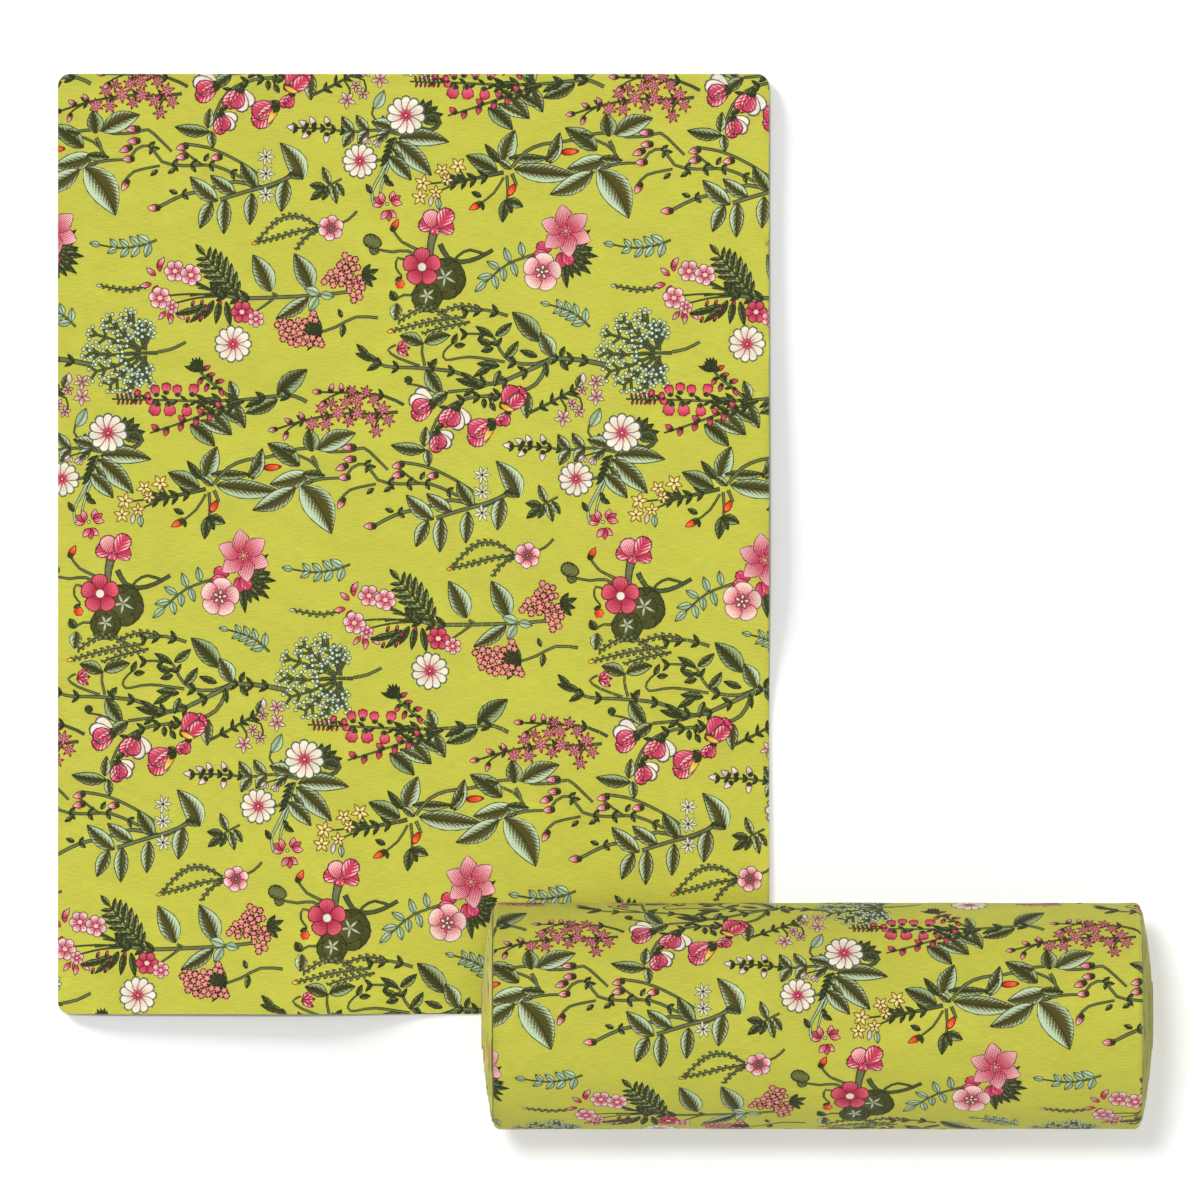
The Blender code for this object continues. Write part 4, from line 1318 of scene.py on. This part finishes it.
half = (STRAIGHT + CURL) / UNIT
middle = 604 + ROLL_X / UNIT
x0, x1 = middle - half, middle + half
y0, y1 = turn_of(174.0), turn_of(540.0)
roll_material = printed_cloth("printed_cotton_roll")
bolt_cloth = cloth_piece(
    "bolt_cloth", roll_outline(x0, x1, y0, y1), ROLL_SHIFT, [], roll_lines(x0, x1, y0, y1, 3.6), wrap(drop_at), [],
    roll_lines(x0, x1, y0, y1, 7.2),
)  # fmt: skip
bolt_cloth.data.materials.append(roll_material)
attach(bolt_cloth, "bolt")

TAIL_SHORTER = 0.0003
t0, t1 = turn_of(540.0), turn_of(360 + TAIL_END)
tail_half = (STRAIGHT - TAIL_SHORTER + CURL) / UNIT
bolt_tail = cloth_piece(
    "bolt_tail", roll_outline(middle - tail_half, middle + tail_half, t0, t1), ROLL_SHIFT, [],
    roll_lines(middle - tail_half, middle + tail_half, t0, t1, 2.35), wrap(drop_at, 0.0, True, TAIL_SHORTER), [],
    roll_lines(middle - tail_half, middle + tail_half, t0, t1, 4.7), thick=0.00095, notch=0.0011,
)  # fmt: skip
bolt_tail.data.materials.append(roll_material)


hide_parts("tail_flap")


def tidy(mesh):
    """Removes corners that no face uses, and turns every face outwards."""
    b = bmesh.new()
    b.from_mesh(mesh)
    bmesh.ops.delete(b, geom=[k for k in b.verts if not k.link_faces], context="VERTS")
    bmesh.ops.recalc_face_normals(b, faces=b.faces)
    b.to_mesh(mesh)
    b.free()


# ---- the wound cloth's two ends -----------------------------------------------------------------------------
def end_x(r):
    return 0.300 - END_DOME * r * r


PITCH = 0.00112
END_INNER = 0.0306
STEPS = 96


def roll_end(name, side, folded):
    """One end of the wound cloth: every turn's edge, as one spiral ridge, closed behind."""
    outer = ROLL_RADIUS - EDGE_ROUND - 0.0006
    turns = int((outer - END_INNER) / PITCH)
    total = turns * STEPS
    shade = random.Random(3 if folded else 4)
    set_back = [shade.uniform(-0.0005, 0.0005) for _ in range(turns + 2)]
    profile = ((0.0, 0.0010), (0.20, 0.0002), (0.52, 0.0), (0.84, 0.0003)) if folded else ((0.0, 0.0011), (0.16, 0.0), (0.50, 0.00075), (0.60, 0.0))
    rows = len(profile)
    start = math.radians(TAIL_END)
    n = np.arange(total + STEPS + 1)
    place, tint = [], []
    # the darker colour here is painted shade: it darkens the rows set back between the turns and the closure behind the
    # ends
    lime, painted_shade = np.array(lin(198, 200, 68)), np.array(lin(112, 116, 34))
    pale = np.array(lin(214, 216, 92))
    inks = [np.array(lin(*c)) for c in ((84, 88, 44), (150, 166, 120), (60, 64, 36), (206, 90, 104), (226, 170, 160), (104, 108, 60))]
    wave = np.array([0.00022 * math.sin(k * 0.131) + 0.00016 * math.sin(k * 0.047 + 1.0) for k in range(len(n))])
    level = np.array([set_back[min(k // STEPS, turns + 1)] * (1 - (k % STEPS) / STEPS) + set_back[min(k // STEPS + 1, turns + 1)] * (k % STEPS) / STEPS for k in n])
    mark = np.zeros(len(n), int) - 1
    k = 0
    while k < len(n):
        k += shade.randint(2, 13)
        run = shade.randint(1, 5)
        ink = shade.randrange(len(inks))
        if shade.random() < 0.8:
            mark[k : k + run] = ink
        k += run
    a = start + n / STEPS * math.tau
    for j, (f, deep) in enumerate(profile):
        r = END_INNER + PITCH * (n / STEPS + f)
        x = end_x(r) - deep + level + wave
        place.append(np.stack([ROLL_X + side * x, ROLL_Y + r * np.cos(a), ROLL_Z + r * np.sin(a)], axis=1))
        # rows set back more than half a millimetre get the painted shade colour; the others keep the cloth's own lime
        colour = np.repeat((painted_shade if deep > 0.0005 else pale if not folded and j in (1, 3) else lime)[None], len(n), 0)
        if deep < 0.0005:
            share = 0.85 if folded else 0.6
            for i in np.flatnonzero(mark >= 0):
                colour[i] = inks[mark[i]] * share + colour[i] * (1 - share)
        tint.append(colour)
    count = len(n)
    verts = [np.concatenate(place)]
    tints = [np.concatenate(tint)]

    def at(j, k):
        """The corner at row j of the turn that passes step k; row 4 is the next turn's row 0."""
        return (j * count + k) if j < rows else (k + STEPS)

    quads = []
    for j in range(rows):
        for k in range(total):
            quads.append((at(j, k), at(j, k + 1), at(j + 1, k + 1), at(j + 1, k)))
    # the open edges: inside the first turn and outside the last, each once round and back across the strip
    inside = [at(0, k) for k in range(STEPS + 1)] + [at(j, 0) for j in range(rows - 1, 0, -1)]
    outside = [at(0, total + k) for k in range(STEPS + 1)] + [at(j, total) for j in range(rows - 1, 0, -1)]
    base = sum(len(v) for v in verts)

    def skirt(loop, radius, depth):
        nonlocal base
        made = []
        for i in loop:
            p = verts[0][i]
            ang = math.atan2(p[2] - ROLL_Z, p[1] - ROLL_Y)
            r = math.hypot(p[1] - ROLL_Y, p[2] - ROLL_Z) + radius
            made.append((ROLL_X + side * (end_x(r) - depth), ROLL_Y + r * math.cos(ang), ROLL_Z + r * math.sin(ang)))
        verts.append(np.array(made))
        # the closure behind the end is coloured with painted shade
        tints.append(np.repeat(painted_shade[None], len(made), 0))
        out = list(range(base, base + len(made)))
        base += len(made)
        return out

    inside_back = skirt(inside, -0.0001, 0.0085)
    outside_mid = skirt(outside, 0.0014, 0.0032)
    outside_back = skirt(outside, 0.0014, 0.0085)
    for a_loop, b_loop in ((inside, inside_back), (outside_mid, outside), (outside_back, outside_mid)):
        m = len(a_loop)
        for i in range(m):
            quads.append((a_loop[i], b_loop[i], b_loop[(i + 1) % m], a_loop[(i + 1) % m]))
    # the back: both loops start at the same angle and run the same way
    m = len(inside_back)
    for i in range(m):
        quads.append((inside_back[i], outside_back[i % m], outside_back[(i + 1) % m], inside_back[(i + 1) % m]))
    mesh = bpy.data.meshes.new(name)
    where = np.concatenate(verts)
    mesh.from_pydata([tuple(p) for p in where], [], quads)
    mesh.update()
    colours = np.ones((len(where), 4))
    colours[:, :3] = np.concatenate(tints)
    mesh.attributes.new("tint", "FLOAT_COLOR", "POINT").data.foreach_set("color", colours.ravel())
    tidy(mesh)
    mesh.polygons.foreach_set("use_smooth", np.ones(len(mesh.polygons), bool))
    made = bpy.data.objects.new(name, mesh)
    bpy.context.scene.collection.objects.link(made)
    made.data.materials.append(edges_material)
    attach(made, "bolt")
    return made


edges_material = cloth_edges()
end_left = roll_end("bolt_end_left", -1, True)
end_right = roll_end("bolt_end_right", 1, False)
for piece in (bolt_cloth, end_left, end_right):
    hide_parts("wound_cloth")

# ---- the core -----------------------------------------------------------------------------------------------
def turned(name, profile, steps, wobble=0.0):
    """A closed ring turned about the roll's axis from a loop of (x, radius)."""
    r_ = random.Random(11)
    phase = [(r_.uniform(0, math.tau), r_.uniform(0, math.tau)) for _ in profile]
    verts, faces = [], []
    for i in range(steps):
        a = math.tau * i / steps
        for j, (x, r) in enumerate(profile):
            w = wobble * (math.sin(5 * a + phase[j][0]) + math.sin(11 * a + phase[j][1])) if abs(x) > 0.29 else 0.0
            verts.append((ROLL_X + x - (abs(w) if x > 0 else -abs(w)), ROLL_Y + r * math.cos(a), ROLL_Z + r * math.sin(a)))
    m = len(profile)
    for i in range(steps):
        for j in range(m):
            i2, j2 = (i + 1) % steps, (j + 1) % m
            faces.append((i * m + j, i2 * m + j, i2 * m + j2, i * m + j2))
    mesh = bpy.data.meshes.new(name)
    mesh.from_pydata(verts, [], faces)
    mesh.update()
    made = bpy.data.objects.new(name, mesh)
    bpy.context.scene.collection.objects.link(made)
    return made


plies = 7
profile = []
for end in (1, -1):
    ring_points = []
    for k in range(plies):
        a = CORE_BORE + (CORE_OUTER - CORE_BORE) * k / plies
        b = CORE_BORE + (CORE_OUTER - CORE_BORE) * (k + 1) / plies
        back = 0.00018 if k % 2 else 0.0
        w = (b - a) * 0.12
        ring_points += [(0.29995 - back, a + w), (0.29995 - back, b - w), (0.2994, b)]
    ring_points = [(0.2993, CORE_BORE)] + ring_points[:-1] + [(0.2995, CORE_OUTER)]
    profile += [(end * x, r) for x, r in (ring_points if end > 0 else ring_points[::-1])]
    span = [0.25, 0.15, 0.05, -0.05, -0.15, -0.25]
    profile += [(end * x, CORE_OUTER if end > 0 else CORE_BORE) for x in span]
core = turned("core", profile, 96, 0.00006)
tidy(core.data)
core.data.shade_smooth()
core.data.set_sharp_from_angle(angle=math.radians(40))
core.data.materials.append(card("kraft_board", (186, 148, 104), 0.085, 0.45))
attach(core, "bolt")
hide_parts("core_tube")

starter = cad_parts["starter_tape"]
starter.data.materials.clear()
starter.data.materials.append(crepe_tape())

# ---- the closing tapes --------------------------------------------------------------------------------------
tape_material = clear_tape()


def closing_tape(name, middle_x, node):
    """Clear tape over the free end, torn off with a toothed edge."""
    shade = random.Random(int(abs(middle_x) * 1000) + 5)
    columns = 24
    steps = 44
    verts, faces = [], []
    skew = shade.uniform(-0.6, 0.6)
    for layer in range(2):
        for i in range(steps + 1):
            for j in range(columns + 1):
                u = (j / columns - 0.5) * TAPE_WIDTH
                s = i / steps
                tooth = 0.32 if j % 2 else 0.0
                d0, d1 = TAPE_START + tooth + skew * u * 20, TAPE_END - tooth + skew * u * 20
                d = d0 + (d1 - d0) * s
                # down from the free end on to the turn below
                step = ease(np.array((d - TAIL_END - 0.05) / 1.3))
                r = ROLL_RADIUS - 0.00005 - float(step) * (TURN_DROP - 0.00022)
                r += 0.00010 + 0.00005 * math.sin(300 * u + 9 * s) * (1 - layer)
                r -= 0.00010 * layer
                a = math.radians(d)
                verts.append((middle_x + u, ROLL_Y + r * math.cos(a), ROLL_Z + r * math.sin(a)))
    c = columns + 1
    m = c * (steps + 1)
    for i in range(steps):
        for j in range(columns):
            p = i * c + j
            faces.append((p, p + 1, p + c + 1, p + c))
            faces.append((m + p, m + p + c, m + p + c + 1, m + p + 1))
    rim = [j for j in range(columns)] + [i * c + columns for i in range(steps)]
    rim += [steps * c + j for j in range(columns, 0, -1)] + [i * c for i in range(steps, 0, -1)]
    for a, b in zip(rim, rim[1:] + rim[:1]):
        faces.append((b, a, m + a, m + b))
    mesh = bpy.data.meshes.new(name)
    mesh.from_pydata(verts, [], faces)
    mesh.update()
    tidy(mesh)
    mesh.shade_smooth()
    mesh.set_sharp_from_angle(angle=math.radians(40))
    made = bpy.data.objects.new(name, mesh)
    bpy.context.scene.collection.objects.link(made)
    made.data.materials.append(tape_material)
    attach(made, "tail")
    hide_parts(node)
    return made


tapes = [
    closing_tape("tape_" + word, ROLL_X + offset, "closing_tape_" + word)
    for word, offset in (("left", -0.225), ("middle", 0.0), ("right", 0.225))
]

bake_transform(bolt_tail)

# ---- floor, light and camera --------------------------------------------------------------------------------
bpy.ops.mesh.primitive_plane_add(size=30.0, location=(0, 0, 0))
floor = bpy.context.object
floor.name = "floor"
f = Graph("floor", 0.95, Specular_IOR_Level=0.1)
f.colour(f.vector("SCALE", (0.885, 0.885, 0.885), scale=f.ramp(f.noise(f.object_place(), 3.0), 0.3, 0.7, 0.997, 1.003)))
floor.data.materials.append(f.material)

world = bpy.data.worlds.new("soft")
bpy.context.scene.world = world
world.use_nodes = True
world.node_tree.nodes["Background"].inputs["Color"].default_value = (1, 1, 1, 1)
world.node_tree.nodes["Background"].inputs["Strength"].default_value = 0.43
# what shows above the floor in a low view is as white as the floor
sky = world.node_tree.nodes.new("ShaderNodeBackground")
sky.inputs["Color"].default_value = (1.0, 1.0, 1.0, 1.0)
sky.inputs["Strength"].default_value = 1.05
ray = world.node_tree.nodes.new("ShaderNodeLightPath")
either = world.node_tree.nodes.new("ShaderNodeMixShader")
world.node_tree.links.new(ray.outputs["Is Camera Ray"], either.inputs[0])
world.node_tree.links.new(world.node_tree.nodes["Background"].outputs[0], either.inputs[1])
world.node_tree.links.new(sky.outputs[0], either.inputs[2])
world.node_tree.links.new(either.outputs[0], world.node_tree.nodes["World Output"].inputs[0])


def sun(name, towards, strength, angle, only=None, blocked_by=None):
    """A sun. only and blocked_by name what it lights and what casts its shadow."""
    light = bpy.data.lights.new(name, "SUN")
    light.energy, light.angle = strength, math.radians(angle)
    made = bpy.data.objects.new(name, light)
    made.rotation_euler = Vector(towards).to_track_quat("-Z", "Y").to_euler()
    bpy.context.scene.collection.objects.link(made)
    for label, things in (("receiver_collection", only), ("blocker_collection", blocked_by)):
        if things:
            group = bpy.data.collections.new(name + "_" + label)
            for thing in things:
                group.objects.link(thing)
            setattr(made.light_linking, label, group)


cloths = [cloth_flat, bolt_cloth, bolt_tail, end_left, end_right, core, starter, *tapes]
sun("key", (0.17, -0.21, -1.0), 1.42, 10.0)
# the roll's shade on the floor is thrown by the high sun, and the thin cloth's by this low one
sun("low", (2.8, -2.8, -1.0), 4.9, 16.0, (floor,), (cloth_flat,))
sun("overhead", (0.05, -0.05, -1.0), 1.30, 30.0, cloths[:1])
sun("overhead_roll", (0.05, -0.05, -1.0), 0.90, 30.0, cloths[1:])
sun("side", (-1.0, 0.35, -0.35), 0.55, 30.0, cloths[1:])

camera = bpy.data.cameras.new("camera")
DISTANCE = 22.0
camera.sensor_width = 36.0
camera.lens = 36.0 * DISTANCE / (1202 * UNIT)
camera.clip_start, camera.clip_end = 1.0, 60.0
eye = bpy.data.objects.new("camera", camera)
eye.location = ((601 - 604) * UNIT, (600.5 - 601) * UNIT, DISTANCE)
bpy.context.scene.collection.objects.link(eye)
bpy.context.scene.camera = eye
bpy.context.scene.view_settings.view_transform = "Standard"
bpy.context.scene.view_settings.look = "None"
